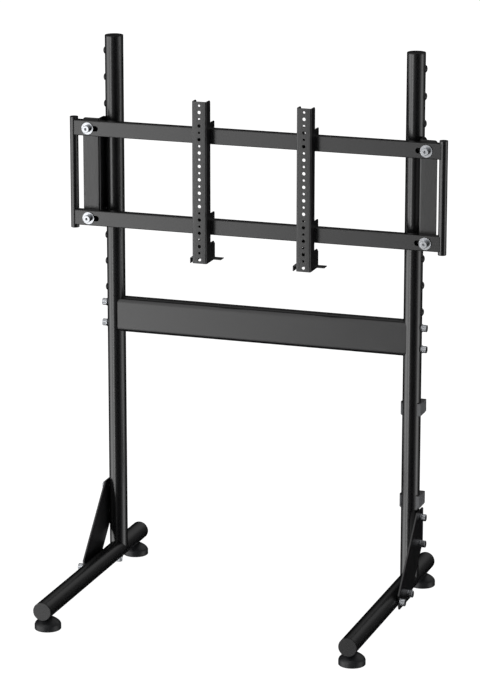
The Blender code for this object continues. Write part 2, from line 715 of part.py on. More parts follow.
def add_rails():
    """Rectangular tubes with a slot near each end, bolted to the brackets and coped to the end tubes."""
    middle = (RAIL_FRONT_Y + RAIL_REAR_Y) / 2
    outer = rounded_rectangle(RAIL_DEPTH, RAIL_HEIGHT, RAIL_CORNER)
    bore = (RAIL_DEPTH - 2 * RAIL_WALL, RAIL_HEIGHT - 2 * RAIL_WALL)
    inner = rounded_rectangle(*bore, RAIL_CORNER - RAIL_WALL)
    past = RAIL_DEPTH / 2 + CUT_PAST
    above = RAIL_HEIGHT / 2 + CUT_PAST
    end_tubes = [((side * END_TUBE_X, 0, -above), (side * END_TUBE_X, 0, above)) for side in SIDES.values()]
    grip = RAIL_DEPTH + BRACKET_SHEET + WELD_NUT_HEIGHT + 2 * TOUCH
    bolt = make_bolt("rail_bolt", grip + RAIL_WALL, RAIL_WASHER_RADIUS, RAIL_WASHER_THICKNESS)
    for level, z in RAIL_Z.items():
        tube = extruded([outer, inner], "X", -RAIL_END_X, RAIL_END_X)
        rail = add_piece(f"rail_{level}", tube, COAT, (0, middle, z))
        for label, side in SIDES.items():
            slot = extruded([slot_outline(side)], "Y", -past, past)
            combine(rail, "DIFFERENCE", f"slot_{label}", slot)
        combine(rail, "DIFFERENCE", "copes", rods(end_tubes, END_TUBE_RADIUS + TOUCH, TUBE_STEPS))
        places = {label: (side * RAIL_BOLT_X, RAIL_FRONT_Y - TOUCH, z) for label, side in SIDES.items()}
        add_bolts(f"rail_bolt_{level}", bolt, places, (math.pi / 2, 0, 0))


def add_end_tubes():
    """Round tubes that join the rails' ends, a little longer than the rails' spacing."""
    bottom = LOWER_RAIL_BOTTOM - END_TUBE_BELOW_RAIL
    top = RAIL_Z["upper"] + RAIL_HEIGHT / 2 + END_TUBE_ABOVE_RAIL
    middle = (RAIL_FRONT_Y + RAIL_REAR_Y) / 2
    section = [circle(END_TUBE_RADIUS), circle(END_TUBE_RADIUS - END_TUBE_WALL)]
    for label, side in SIDES.items():
        tube = extruded(section, "Z", bottom, top)
        add_piece(f"end_channel_{label}", tube, COAT, (side * END_TUBE_X, middle, 0))


# Screen arms

def hook(rail_z):
    """Rear edge of a flange where it hooks over a rail, from below the rail to above the hook."""
    over = rail_z + RAIL_HEIGHT / 2 + TOUCH
    behind = RAIL_REAR_Y + TOUCH
    return [
        (ARM_BACK_Y, over, 0),
        (behind, over, 0),
        (behind, over - HOOK_DROP, 0),
        (behind + HOOK_BACK, over - HOOK_DROP, 0),
        (behind + HOOK_BACK, over + HOOK_BAND, HOOK_CORNER),
        (ARM_BACK_Y, over + HOOK_BAND, 0),
    ]


def flange_outline():
    """Outline in Y and Z of the arm's flanges, with both hooks and the deep part round the latch."""
    foot_back = RAIL_REAR_Y + ARM_FOOT_BACK
    foot_top = ARM_BOTTOM + ARM_FOOT_HEIGHT
    corners = [
        (ARM_FRONT_Y - ARM_SHEET, ARM_BOTTOM, 0),
        (foot_back, ARM_BOTTOM, 0),
        (foot_back, foot_top, 0),
        (foot_back - ARM_FOOT_CHAMFER_BACK, foot_top + ARM_FOOT_CHAMFER_HEIGHT, 0),
        (ARM_BACK_Y, foot_top + ARM_FOOT_CHAMFER_HEIGHT, 0),
        *hook(RAIL_Z["lower"]),
        *hook(RAIL_Z["upper"]),
        (ARM_BACK_Y, ARM_TOP, ARM_TOP_CORNER),
        (ARM_FRONT_Y - ARM_SHEET, ARM_TOP, 0),
    ]
    return rounded([(y - ARM_BACK_Y, z, radius) for y, z, radius in corners])


def add_arm(label):
    """Channel with a column of screw holes; its origin is on the rails' front, on the floor line."""
    half = ARM_WIDTH / 2
    front = ARM_FRONT_Y - ARM_BACK_Y
    back = RAIL_REAR_Y - ARM_BACK_Y + 2 * ARM_FOOT_BACK
    section = bent_sheet([(-half, back), (-half, front), (half, front), (half, back)], ARM_SHEET, ARM_BEND)
    blank = extruded([section], "Z", ARM_BOTTOM - ARM_SHEET, ARM_TOP + ARM_SHEET)
    arm = add_piece(f"arm_{label}", blank, COAT, (ARM_X[label], ARM_BACK_Y, 0))
    combine(arm, "INTERSECT", "flanges", extruded([flange_outline()], "X", -ARM_WIDTH, ARM_WIDTH))
    pivot = (LATCH_Y - ARM_BACK_Y, LATCH_Z)
    pin = [((-ARM_WIDTH, *pivot), (ARM_WIDTH, *pivot))]
    combine(arm, "DIFFERENCE", "pin_holes", bores(pin, LATCH_PIN_RADIUS + PLAY))
    for name, first, radius in (("small_holes", 0, ARM_SMALL_HOLE), ("large_holes", 1, ARM_LARGE_HOLE)):
        heights = [ARM_HOLE_TOP - i * ARM_HOLE_PITCH for i in range(first, ARM_HOLE_COUNT, 2)]
        holes = [((0, front - CUT_PAST, z), (0, front + CUT_PAST, z)) for z in heights]
        combine(arm, "DIFFERENCE", name, bores(holes, radius))
    add_latch(label, arm, (0, *pivot))


def add_latch(label, arm, pivot):
    """Bent lever on a pin through the flanges; its nose lies under the lower rail, a tab behind."""
    nose_top = LOWER_RAIL_BOTTOM - TOUCH - LATCH_Z
    tab_top = ARM_BOTTOM - LATCH_TAB_DROP - LATCH_Z
    tab_front = RAIL_REAR_Y + ARM_FOOT_BACK + LATCH_TAB_START - LATCH_Y
    lever = bent_sheet(
        [
            (-LATCH_LEG_FRONT - LATCH_NOSE, nose_top),
            (LATCH_SHEET - LATCH_LEG_FRONT, nose_top),
            (LATCH_SHEET - LATCH_LEG_FRONT, -LATCH_KNEE_HEIGHT),
            (tab_front, tab_top),
            (tab_front + LATCH_TAB_DEPTH / 2, tab_top),
        ][::-1],
        LATCH_SHEET,
        LATCH_BEND,
    )
    half = ARM_WIDTH / 2 - ARM_SHEET - LATCH_SIDE_GAP
    latch = add_piece(f"latch_{label}", extruded([lever], "X", -half, half), COAT, pivot, parent=arm)
    tab = bent_sheet(
        [
            (-LATCH_TAB_LEFT, tab_top - LATCH_LIP),
            (-LATCH_TAB_LEFT, tab_top),
            (LATCH_TAB_RIGHT, tab_top),
        ][::-1],
        LATCH_SHEET,
        LATCH_BEND,
    )
    combine(latch, "UNION", "tab", extruded([tab], "Y", tab_front, tab_front + LATCH_TAB_DEPTH))
    pin_end = ARM_WIDTH / 2 + LATCH_PIN_END
    combine(latch, "UNION", "pin", rods([((-pin_end, 0, 0), (pin_end, 0, 0))], LATCH_PIN_RADIUS))


# Cable clips

def clip_block():
    """X and Y of the outer rear corner of a clip's block, from the post's axis."""
    return CLIP_BORE + CLIP_BLOCK_SIDE, CLIP_BORE + CLIP_BLOCK_REAR


def clip_outline():
    """Open ring round the post with a square block on its outer rear side, in X and Y."""
    ring = CLIP_BORE + CLIP_WALL
    facet = math.tau / TUBE_STEPS
    mouth = math.ceil(math.asin(-CLIP_MOUTH / CLIP_BORE) / facet)
    quarter = TUBE_STEPS // 4
    inner = [i * facet for i in range(mouth, TUBE_STEPS // 2 - mouth + 1)]
    outer = [i * facet for i in range(quarter, TUBE_STEPS // 2 - mouth + 1)]
    front = CLIP_BORE * math.sin(inner[0])
    side, rear = clip_block()
    block = rounded(
        [
            (CLIP_BORE * math.cos(inner[0]), front, 0),
            (side, front, CLIP_CORNER),
            (side, rear, CLIP_CORNER),
            (0, rear, 0),
        ]
    )
    outside = [(ring * math.cos(turn), ring * math.sin(turn)) for turn in outer]
    inside = [(CLIP_BORE * math.cos(turn), CLIP_BORE * math.sin(turn)) for turn in inner[:0:-1]]
    return block + outside + inside


def add_cable_clips():
    """Moulded clips that snap on the right post; a cable goes in from the side."""
    place = (POST_X, POST_Y)
    side, rear = clip_block()
    hole = (side - CABLE_HOLE_INSET, rear - CABLE_HOLE_INSET)
    for level, bottom in CLIP_BOTTOMS.items():
        body = extruded([clip_outline()], "Z", 0, CLIP_HEIGHT)
        clip = add_piece(f"cable_clip_{level}", body, PLASTIC, (*place, bottom))
        ends = ((*hole, -CUT_PAST), (*hole, CLIP_HEIGHT + CUT_PAST))
        combine(clip, "DIFFERENCE", "cable_hole", bores([ends], CABLE_HOLE_RADIUS))
        mouth = rounded_rectangle(2 * CABLE_HOLE_INSET, CABLE_SLOT, 0, (side, hole[1]))
        combine(clip, "DIFFERENCE", "cable_slot", extruded([mouth], "Z", -CUT_PAST, CLIP_HEIGHT + CUT_PAST))


for side_label, side_sign in SIDES.items():
    add_post(side_label, side_sign)
    add_foot_tube(side_label, side_sign)
    add_arm(side_label)
add_post_caps()
add_plugs()
add_foot_caps()
add_levellers()
add_gussets()
add_crossbar()
add_brackets()
add_rails()
add_end_tubes()
add_cable_clips()
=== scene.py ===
"""Monitor stand in black powder-coated steel: fine shapes, finishes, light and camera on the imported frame.

Metres, +Z up. The screen hangs on the -Y side, so "front" is towards -Y. The origin is on the floor.
"""

import math

import bmesh
import bpy
from mathutils import Matrix, Vector


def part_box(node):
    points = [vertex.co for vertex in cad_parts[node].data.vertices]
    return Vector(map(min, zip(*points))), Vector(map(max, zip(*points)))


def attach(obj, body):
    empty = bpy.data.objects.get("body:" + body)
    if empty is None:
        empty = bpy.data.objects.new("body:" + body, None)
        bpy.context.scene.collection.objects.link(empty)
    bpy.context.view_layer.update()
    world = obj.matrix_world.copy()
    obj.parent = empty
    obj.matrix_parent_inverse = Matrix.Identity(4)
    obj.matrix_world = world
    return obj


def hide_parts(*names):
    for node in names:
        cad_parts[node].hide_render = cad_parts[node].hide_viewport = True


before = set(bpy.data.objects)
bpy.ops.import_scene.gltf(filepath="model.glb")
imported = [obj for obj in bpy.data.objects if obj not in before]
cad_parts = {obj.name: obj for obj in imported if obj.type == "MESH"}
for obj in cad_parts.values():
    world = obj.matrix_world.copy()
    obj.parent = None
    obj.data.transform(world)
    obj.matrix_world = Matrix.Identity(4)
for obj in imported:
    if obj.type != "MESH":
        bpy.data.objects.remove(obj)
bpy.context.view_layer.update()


# Levelling feet
# Four bell-shaped feet of black glass-filled nylon, each moulded on the head of an M10 stud. The stud
# is zinc-plated steel with a rolled thread, and screws into a nut that is welded inside the foot tube.

SIDES = {"left": -1, "right": 1}
ENDS = ("front", "rear")
MM = 0.001
BELL_RADIUS = 0.039
BELL_HEIGHT = 0.0377
BELL_RIM = 0.015
BELL_NECK = 0.012
BELL_CROWN = 0.6  # exponent of the bell's curve; 1 would be a cone
BELL_LIP = 0.0015
BELL_STEPS = 14
FOOT_SIDES = 64
STUD_RADIUS = 0.005
STUD_TOP = 0.078
THREAD_PITCH = 0.0015
THREAD_DEPTH = 0.0009
THREAD_STEPS = 6  # heights in one turn
WELD_GAP = 1e-6  # corners this close are one corner
FLAT_ANGLE = 0.2  # degrees up to which faces count as one flat face
BEVEL_ANGLE = 40  # degrees between faces from which an edge is broken
SMOOTH_ANGLE = 50  # degrees between faces from which an edge stays sharp
MIXED = 2  # a colour Mix node's factor, two colours and result are its sockets 0, 6, 7 and 2


def linear(code):
    """Linear RGBA of an sRGB hex code."""
    shares = [int(code[i : i + 2], 16) / 255 for i in (1, 3, 5)]
    return (*[s / 12.92 if s <= 0.04045 else ((s + 0.055) / 1.055) ** 2.4 for s in shares], 1)


def add_node(tree, kind, values=None, links=None, **settings):
    """A shader node with its settings, its sockets' values and the outputs that feed them."""
    node = tree.nodes.new("ShaderNode" + kind)
    for key, value in settings.items():
        setattr(node, key, value)
    for socket, value in (values or {}).items():
        node.inputs[socket].default_value = value
    for socket, output in (links or {}).items():
        tree.links.new(output, node.inputs[socket])
    return node


def new_material(name, values):
    """A material, its node tree, its Principled shader and the piece's own coordinates."""
    material = bpy.data.materials.new(name)
    material.use_nodes = True
    tree = material.node_tree
    shader = tree.nodes["Principled BSDF"]
    for socket, value in values.items():
        shader.inputs[socket].default_value = value
    return material, tree, shader, add_node(tree, "TexCoord").outputs["Object"]


def dress(tree, shader, tone, gloss, skin):
    """Give a shader its colour, its roughness and the relief of its skin."""
    tree.links.new(tone.outputs[MIXED], shader.inputs["Base Color"])
    tree.links.new(gloss.outputs["Result"], shader.inputs["Roughness"])
    tree.links.new(skin.outputs["Normal"], shader.inputs["Normal"])


def baked(obj):
    """The mesh of an object with its modifiers; the object itself is removed."""
    bpy.context.view_layer.update()
    mesh = bpy.data.meshes.new_from_object(obj.evaluated_get(bpy.context.evaluated_depsgraph_get()))
    bpy.data.objects.remove(obj)
    return mesh


def loose(mesh):
    """An object for a mesh that still has to be worked on."""
    obj = bpy.data.objects.new("blank", mesh)
    bpy.context.scene.collection.objects.link(obj)
    return obj


def turned(profile, steps, ridge=None):
    """Closed mesh turned about Z; the profile (radius, height) runs down from the top on the axis.

    ridge(radius, height, turn) gives the radius of a thread or knurl, with turn from 0 to 1.
    """
    solid = bmesh.new()
    rings = []
    for radius, height in profile:
        if radius == 0:
            rings.append([solid.verts.new((0, 0, height))] * steps)
            continue
        ring = []
        for i in range(steps):
            turn = i / steps
            wide = ridge(radius, height, turn) if ridge else radius
            place = (wide * math.cos(math.tau * turn), wide * math.sin(math.tau * turn), height)
            ring.append(solid.verts.new(place))
        rings.append(ring)
    for upper, lower in zip(rings, rings[1:]):
        for i in range(steps):
            j = (i + 1) % steps
            solid.faces.new(dict.fromkeys((upper[i], lower[i], lower[j], upper[j])))
    mesh = bpy.data.meshes.new("turned")
    solid.to_mesh(mesh)
    solid.free()
    return mesh


def finished(mesh, edge=0, smooth=SMOOTH_ANGLE):
    """The mesh with its sharp edges broken by a bevel of that width, and shaded smooth over bends."""
    solid = bmesh.new()
    solid.from_mesh(mesh)
    bmesh.ops.remove_doubles(solid, verts=solid.verts, dist=WELD_GAP)
    flat = math.radians(FLAT_ANGLE)
    bmesh.ops.dissolve_limit(solid, angle_limit=flat, verts=solid.verts, edges=solid.edges)
    bmesh.ops.recalc_face_normals(solid, faces=solid.faces)
    solid.to_mesh(mesh)
    solid.free()
    if edge:
        blank = loose(mesh)
        bevel = blank.modifiers.new("edge", "BEVEL")
        bevel.width = edge
        bevel.segments = 2
        bevel.limit_method = "ANGLE"
        bevel.angle_limit = math.radians(BEVEL_ANGLE)
        mesh = baked(blank)
    mesh.shade_smooth()
    mesh.set_sharp_from_angle(angle=math.radians(smooth))
    blank = loose(mesh)
    blank.modifiers.new("normals", "WEIGHTED_NORMAL").keep_sharp = True
    return baked(blank)


def place_piece(name, mesh, material, body, node, location=(0, 0, 0), rotation=(0, 0, 0)):
    """A named piece with its finish that moves with a body, and stands for a CAD node if one is named."""
    piece = bpy.data.objects.new(name, mesh)
    piece.location = location
    piece.rotation_euler = rotation
    if not mesh.materials:
        mesh.materials.append(material)
    bpy.context.scene.collection.objects.link(piece)
    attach(piece, body)
    if node:
        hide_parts(node)
    return piece


def thread(radius, height, turn):
    """Radius of the stud's thread; the bell under it stays round."""
    if radius > STUD_RADIUS or height < BELL_HEIGHT:
        return radius
    share = (height / THREAD_PITCH - turn) % 1
    return radius - THREAD_DEPTH * abs(2 * share - 1)


# Glass-filled nylon: dull black, a shade greyer where the fibres lie near the skin, with a soft sheen.
# The flow marks are some 9 mm long; the grain is really 0.3 mm and is drawn at 2 mm so that it shows.
nylon, tree, shader, own = new_material("moulded_glass_filled_nylon", {"IOR": 1.53})
flow = add_node(tree, "TexNoise", {"Scale": 1 / (9 * MM), "Detail": 3}, {"Vector": own}).outputs["Fac"]
grain = add_node(tree, "TexNoise", {"Scale": 1 / (2 * MM), "Detail": 2}, {"Vector": own}).outputs["Fac"]
tone = add_node(tree, "Mix", {6: linear("#17181a"), 7: linear("#232427")}, {0: flow}, data_type="RGBA")
gloss = add_node(tree, "MapRange", {"To Min": 0.36, "To Max": 0.52}, {"Value": flow})
skin = add_node(tree, "Bump", {"Strength": 0.25, "Distance": 0.15 * MM}, {"Height": grain})
dress(tree, shader, tone, gloss, skin)

shares = [i / BELL_STEPS for i in range(BELL_STEPS, -1, -1)]
bell = [
    (BELL_RADIUS - (BELL_RADIUS - BELL_NECK) * s, BELL_RIM + (BELL_HEIGHT - BELL_RIM) * s**BELL_CROWN)
    for s in shares
]
turns = int((STUD_TOP - BELL_HEIGHT) / THREAD_PITCH * THREAD_STEPS)
stud = [(STUD_RADIUS, STUD_TOP - i * THREAD_PITCH / THREAD_STEPS) for i in range(turns)]
foot_mesh = finished(
    turned(
        [
            (0, STUD_TOP),
            *stud,
            (STUD_RADIUS, BELL_HEIGHT),
            *bell,
            (BELL_RADIUS, BELL_LIP),
            (BELL_RADIUS - BELL_LIP, 0),
            (0, 0),
        ],
        FOOT_SIDES,
        thread,
    )
)
for side in SIDES:
    for end in ENDS:
        name = f"leveller_{side}_{end}"
        low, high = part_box(name)
        place = ((low.x + high.x) / 2, (low.y + high.y) / 2, 0)
        body = f"foot_{side}_{end}"
        place_piece(f"bell_foot_{side}_{end}", foot_mesh, nylon, body, name, place)


# Foot tubes
# Two long round steel tubes, 55 x 2 mm, that lie along the floor with a foot under each end. They are
# welded up, blasted and powder-coated in satin black before the plastic goes on.

TOUCH = 0.0003  # between pieces that rest on each other
POST_X = 0.464
POST_Y = 0.22315
FOOT_Z = 0.0655
FOOT_END = 0.40655
TUBE_RADIUS = 0.0275
TUBE_WALL = 0.002
TUBE_SIDES = 96
BOLT_HOLE = 0.0073
PAST = 0.005  # how far drills and cutters reach past a face
FOOT_CAP_FLANGE = 0.004
GUSSET_BOLT_Y = (0.09415, 0.01215)
AXES = {
    "X": Matrix(((0, 0, 1), (1, 0, 0), (0, 1, 0))),
    "Y": Matrix(((1, 0, 0), (0, 0, -1), (0, 1, 0))),
    "Z": Matrix.Identity(3),
}


def ring(radius, steps=TUBE_SIDES):
    """Closed outline of a circle."""
    turns = (math.tau * i / steps for i in range(steps))
    return [(radius * math.cos(turn), radius * math.sin(turn)) for turn in turns]


def extruded(loops, axis, start, end):
    """Solid of closed outlines, extruded along an axis from start to end."""
    curve = bpy.data.curves.new("outline", "CURVE")
    curve.dimensions = "2D"
    curve.fill_mode = "BOTH"
    curve.extrude = abs(end - start) / 2
    for loop in loops:
        spline = curve.splines.new("POLY")
        spline.points.add(len(loop) - 1)
        spline.use_cyclic_u = True
        for point, (u, v) in zip(spline.points, loop):
            point.co = (u, v, 0, 1)
    mesh = baked(loose(curve))
    middle = Vector([(start + end) / 2 if axis == letter else 0 for letter in "XYZ"])
    solid = bmesh.new()
    solid.from_mesh(mesh)
    bmesh.ops.remove_doubles(solid, verts=solid.verts, dist=WELD_GAP)
    bmesh.ops.transform(solid, matrix=Matrix.Translation(middle) @ AXES[axis].to_4x4(), verts=solid.verts)
    bmesh.ops.recalc_face_normals(solid, faces=solid.faces)
    solid.to_mesh(mesh)
    solid.free()
    return mesh


def rods(places, radius, steps=32):
    """Mesh of equal cylinders, one for each pair of end points."""
    solid = bmesh.new()
    for start, end in places:
        along = Vector(end) - Vector(start)
        middle = Matrix.Translation((Vector(start) + Vector(end)) / 2)
        place = middle @ along.to_track_quat("Z", "Y").to_matrix().to_4x4()
        bmesh.ops.create_cone(
            solid,
            cap_ends=True,
            segments=steps,
            radius1=radius,
            radius2=radius,
            depth=along.length,
            matrix=place,
        )
    mesh = bpy.data.meshes.new("rods")
    solid.to_mesh(mesh)
    solid.free()
    return mesh


def combined(mesh, operation, *tools):
    """The mesh after a boolean with each tool mesh in turn."""
    blank = loose(mesh)
    cutters = [loose(tool) for tool in tools]
    for cutter in cutters:
        boolean = blank.modifiers.new("cut", "BOOLEAN")
        boolean.operation = operation
        boolean.solver = "EXACT"
        boolean.object = cutter
    mesh = baked(blank)
    for cutter in cutters:
        bpy.data.objects.remove(cutter)
    return mesh


# Satin black polyester powder coat: near-black, an even half-gloss, and a slight orange peel. The peel
# is really 2 to 3 mm from crest to crest and is drawn at 7 mm so that it still shows.
coat, tree, shader, own = new_material("satin_black_powder_coat", {"IOR": 1.8})
peel = add_node(tree, "TexNoise", {"Scale": 1 / (7 * MM), "Detail": 2}, {"Vector": own}).outputs["Fac"]
cloud = add_node(tree, "TexNoise", {"Scale": 1 / (60 * MM), "Detail": 4}, {"Vector": own}).outputs["Fac"]
tone = add_node(tree, "Mix", {6: linear("#0e0e0f"), 7: linear("#131314")}, {0: cloud}, data_type="RGBA")
gloss = add_node(tree, "MapRange", {"To Min": 0.22, "To Max": 0.28}, {"Value": cloud})
skin = add_node(tree, "Bump", {"Strength": 0.12, "Distance": 0.1 * MM}, {"Height": peel})
dress(tree, shader, tone, gloss, skin)

tube_end = FOOT_END - FOOT_CAP_FLANGE - TOUCH
for side, sign in SIDES.items():
    tube = extruded([ring(TUBE_RADIUS), ring(TUBE_RADIUS - TUBE_WALL)], "Y", -tube_end, tube_end)
    bolt_holes = [((0, y, 0), (sign * (TUBE_RADIUS + PAST), y, 0)) for y in GUSSET_BOLT_Y]
    stud_holes = []
    for end in ENDS:
        low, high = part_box(f"leveller_{side}_{end}")
        y = (low.y + high.y) / 2
        stud_holes.append(((0, y, 0), (0, y, -TUBE_RADIUS - PAST)))
    tube = combined(tube, "DIFFERENCE", rods(bolt_holes, BOLT_HOLE), rods(stud_holes, STUD_RADIUS + TOUCH))
    place = (sign * POST_X, 0, FOOT_Z)
    place_piece(f"floor_tube_{side}", finished(tube), coat, "frame", f"foot_tube_{side}", place)


# End caps
# Push-in caps of black polyethylene close both ends of the foot tubes and the top of each post. A thin
# flange of the tube's own diameter, with a rounded edge, sits on the cut end of the tube.

POST_TOP = 1.6552
CAP_INSERT = 0.020
CAP_EDGE = 0.0012
POST_CAP_FLANGE = 0.0025

# Moulded polyethylene: black with a waxy half-gloss, smoother than the coat and so lighter where it
# faces the light flatly. The mould's grain is really 0.2 mm and is drawn at 1.5 mm so that it shows.
plastic, tree, shader, own = new_material("moulded_black_polyethylene", {"IOR": 1.51})
grain = add_node(tree, "TexNoise", {"Scale": 1 / (1.5 * MM), "Detail": 2}, {"Vector": own}).outputs["Fac"]
cloud = add_node(tree, "TexNoise", {"Scale": 1 / (15 * MM), "Detail": 3}, {"Vector": own}).outputs["Fac"]
tone = add_node(tree, "Mix", {6: linear("#141415"), 7: linear("#1c1c1d")}, {0: cloud}, data_type="RGBA")
gloss = add_node(tree, "MapRange", {"To Min": 0.24, "To Max": 0.32}, {"Value": cloud})
skin = add_node(tree, "Bump", {"Strength": 0.1, "Distance": 0.05 * MM}, {"Height": grain})
dress(tree, shader, tone, gloss, skin)


def quarter(radius, height, edge, steps=4):
    """Profile points of a rounded rim, from the flat top to the side."""
    turns = [math.pi / 2 * i / steps for i in range(steps + 1)]
    return [(radius - edge + edge * math.sin(t), height - edge + edge * math.cos(t)) for t in turns]


def end_cap(radius, flange):
    """Cap with its insert for a tube of that radius; the origin is at the insert's lower end."""
    seat = CAP_INSERT + TOUCH
    insert = radius - TUBE_WALL - TOUCH
    rim = quarter(radius, seat + flange, CAP_EDGE)
    profile = [(0, seat + flange), *rim, (radius, seat), (insert, seat), (insert, 0), (0, 0)]
    return finished(turned(profile, TUBE_SIDES))


foot_cap = end_cap(TUBE_RADIUS, FOOT_CAP_FLANGE)
for side, sign in SIDES.items():
    for end, outwards in zip(ENDS, (-1, 1)):
        place = (sign * POST_X, outwards * (tube_end - CAP_INSERT), FOOT_Z)
        turn = (-outwards * math.pi / 2, 0, 0)
        name, node = f"tube_end_cap_{side}_{end}", f"foot_cap_{side}_{end}"
        place_piece(name, foot_cap, plastic, "frame", node, place, turn)

post_cap = end_cap(TUBE_RADIUS, POST_CAP_FLANGE)
for side, sign in SIDES.items():
    place = (sign * POST_X, POST_Y, POST_TOP - CAP_INSERT)
    place_piece(f"post_top_cap_{side}", post_cap, plastic, "frame", f"post_cap_{side}", place)


# Posts
# Two round posts of the same tube and coat. The foot of each is coped to sit on its foot tube, and a
# row of ten holes, 80 mm apart, runs down its outer side for the brackets that carry the rails.

HOLE_TOP = 1.611
HOLE_PITCH = 0.080
HOLE_COUNT = 10
GUSSET_BOLT_Z = (0.262, 0.180)
CROSSBAR_BOLT_Z = (0.8425, 0.7785)

hole_heights = [HOLE_TOP - i * HOLE_PITCH for i in range(HOLE_COUNT)]
for side, sign in SIDES.items():
    tube = extruded([ring(TUBE_RADIUS), ring(TUBE_RADIUS - TUBE_WALL)], "Z", FOOT_Z, POST_TOP)
    past = TUBE_RADIUS + PAST
    saddle = rods([((0, -past, FOOT_Z), (0, past, FOOT_Z))], TUBE_RADIUS + TOUCH, TUBE_SIDES)
    outer = [((0, 0, z), (sign * past, 0, z)) for z in (*hole_heights, *GUSSET_BOLT_Z)]
    through = [((-sign * past, 0, z), (sign * past, 0, z)) for z in CROSSBAR_BOLT_Z]
    tube = combined(tube, "DIFFERENCE", saddle, rods(outer + through, BOLT_HOLE))
    place = (sign * POST_X, POST_Y, 0)
    place_piece(f"upright_{side}", finished(tube), coat, "frame", f"post_{side}", place)


# Hole plugs
# Domed snap-in plugs of the same polyethylene fill the holes that no bracket covers: three above and
# three below on each post. The underside of the head is hollowed to lie on the round tube.

PLUG_RADIUS = 0.011
PLUG_HEIGHT = 0.0055
PLUG_STEM_DEPTH = 0.009
PLUG_STEM_RADIUS = 0.007
PLUG_HOLES = (0, 1, 2, 7, 8, 9)
CAD_PLUGS = 5  # plugs of each post that have a node; the lowest has none
DOME_STEPS = 8
PLUG_SIDES = 32

seat = math.sqrt(TUBE_RADIUS**2 - PLUG_RADIUS**2) - TOUCH
turns = [math.pi / 2 * i / DOME_STEPS for i in range(DOME_STEPS + 1)]
dome = [(PLUG_RADIUS * math.sin(t), TUBE_RADIUS + PLUG_HEIGHT * math.cos(t)) for t in turns]
head = turned([*dome, (PLUG_RADIUS, seat), (0, seat)], PLUG_SIDES)
across = rods([((0, -PLUG_RADIUS - PAST, 0), (0, PLUG_RADIUS + PAST, 0))], TUBE_RADIUS + TOUCH, TUBE_SIDES)
head = combined(head, "DIFFERENCE", across)
stem = [((0, 0, TUBE_RADIUS - PLUG_STEM_DEPTH), (0, 0, TUBE_RADIUS + PLUG_HEIGHT / 2))]
plug = finished(combined(head, "UNION", rods(stem, PLUG_STEM_RADIUS)))
for side, sign in SIDES.items():
    for index in PLUG_HOLES:
        name = f"hole_plug_{side}_{index + 1}"
        node = f"plug_{side}_{index + 1}" if PLUG_HOLES.index(index) < CAD_PLUGS else None
        place = (sign * POST_X, POST_Y, hole_heights[index])
        turn = (math.pi / 2, 0, sign * math.pi / 2)
        place_piece(name, plug, plastic, "frame", node, place, turn)


# Gussets
# A flat six-sided strut of 5 mm steel on the outer side of each corner ties the post to its foot tube.
# It is laser-cut, with small corner radii, and powder-coated like the other sheet parts.

GUSSET_INNER = POST_X + TUBE_RADIUS + TOUCH
GUSSET_SHEET = 0.005
GUSSET_CORNER = 0.004
GUSSET_EDGE = 0.5 * MM
GUSSET_CORNERS = (
    (0.18915, 0.286),
    (0.00115, 0.088),
    (0.00815, 0.043),
    (0.12515, 0.043),
    (0.25115, 0.178),
    (0.25115, 0.286),
)


def rounded(corners, steps=4):
    """Closed outline through corners (u, v, radius), each rounded by an arc."""
    outline = []
    for before, corner, after in zip(corners[-1:] + corners[:-1], corners, corners[1:] + corners[:1]):
        tip, radius = Vector(corner[:2]), corner[2]
        back = (Vector(before[:2]) - tip).normalized()
        ahead = (Vector(after[:2]) - tip).normalized()
        if radius == 0:
            outline.append(tuple(tip))
            continue
        half_angle = back.angle(ahead) / 2
        centre = tip + (back + ahead).normalized() * radius / math.sin(half_angle)
        start = (tip + back * radius / math.tan(half_angle) - centre).normalized()
        end = (tip + ahead * radius / math.tan(half_angle) - centre).normalized()
        outline += [tuple(centre + start.slerp(end, i / steps) * radius) for i in range(steps + 1)]
    return outline


# Textured black powder coat on sheet metal: the same black, with a fine sand grain that scatters the
# light a little. The grain is really 0.5 mm and is drawn at 6 mm so that it shows as a speckle.
sand, tree, shader, own = new_material("textured_black_powder_coat", {"IOR": 1.8})
grain = add_node(tree, "TexNoise", {"Scale": 1 / (6 * MM), "Detail": 3}, {"Vector": own}).outputs["Fac"]
cloud = add_node(tree, "TexNoise", {"Scale": 1 / (50 * MM), "Detail": 4}, {"Vector": own}).outputs["Fac"]
tone = add_node(tree, "Mix", {6: linear("#0e0e0f"), 7: linear("#171718")}, {0: grain}, data_type="RGBA")
gloss = add_node(tree, "MapRange", {"To Min": 0.26, "To Max": 0.32}, {"Value": cloud})
skin = add_node(tree, "Bump", {"Strength": 0.6, "Distance": 0.3 * MM}, {"Height": grain})
dress(tree, shader, tone, gloss, skin)

for side, sign in SIDES.items():
    outline = rounded([(y, z, GUSSET_CORNER) for y, z in GUSSET_CORNERS])
    plate = extruded([outline], "X", sign * GUSSET_INNER, sign * (GUSSET_INNER + GUSSET_SHEET))
    spots = [(POST_Y, z) for z in GUSSET_BOLT_Z] + [(y, FOOT_Z) for y in GUSSET_BOLT_Y]
    past = GUSSET_INNER + GUSSET_SHEET + PAST
    holes = [((sign * POST_X, y, z), (sign * past, y, z)) for y, z in spots]
    plate = combined(plate, "DIFFERENCE", rods(holes, BOLT_HOLE))
    plate = finished(plate, GUSSET_EDGE)
    place_piece(f"corner_strut_{side}", plate, sand, "frame", f"gusset_{side}")


# Bolts
# Socket-head cap screws, M14, in bright zinc with a straight knurl round the head, and plain washers
# under them. They hold the gussets, crossbar and brackets, and bigger washers span the rails' slots.

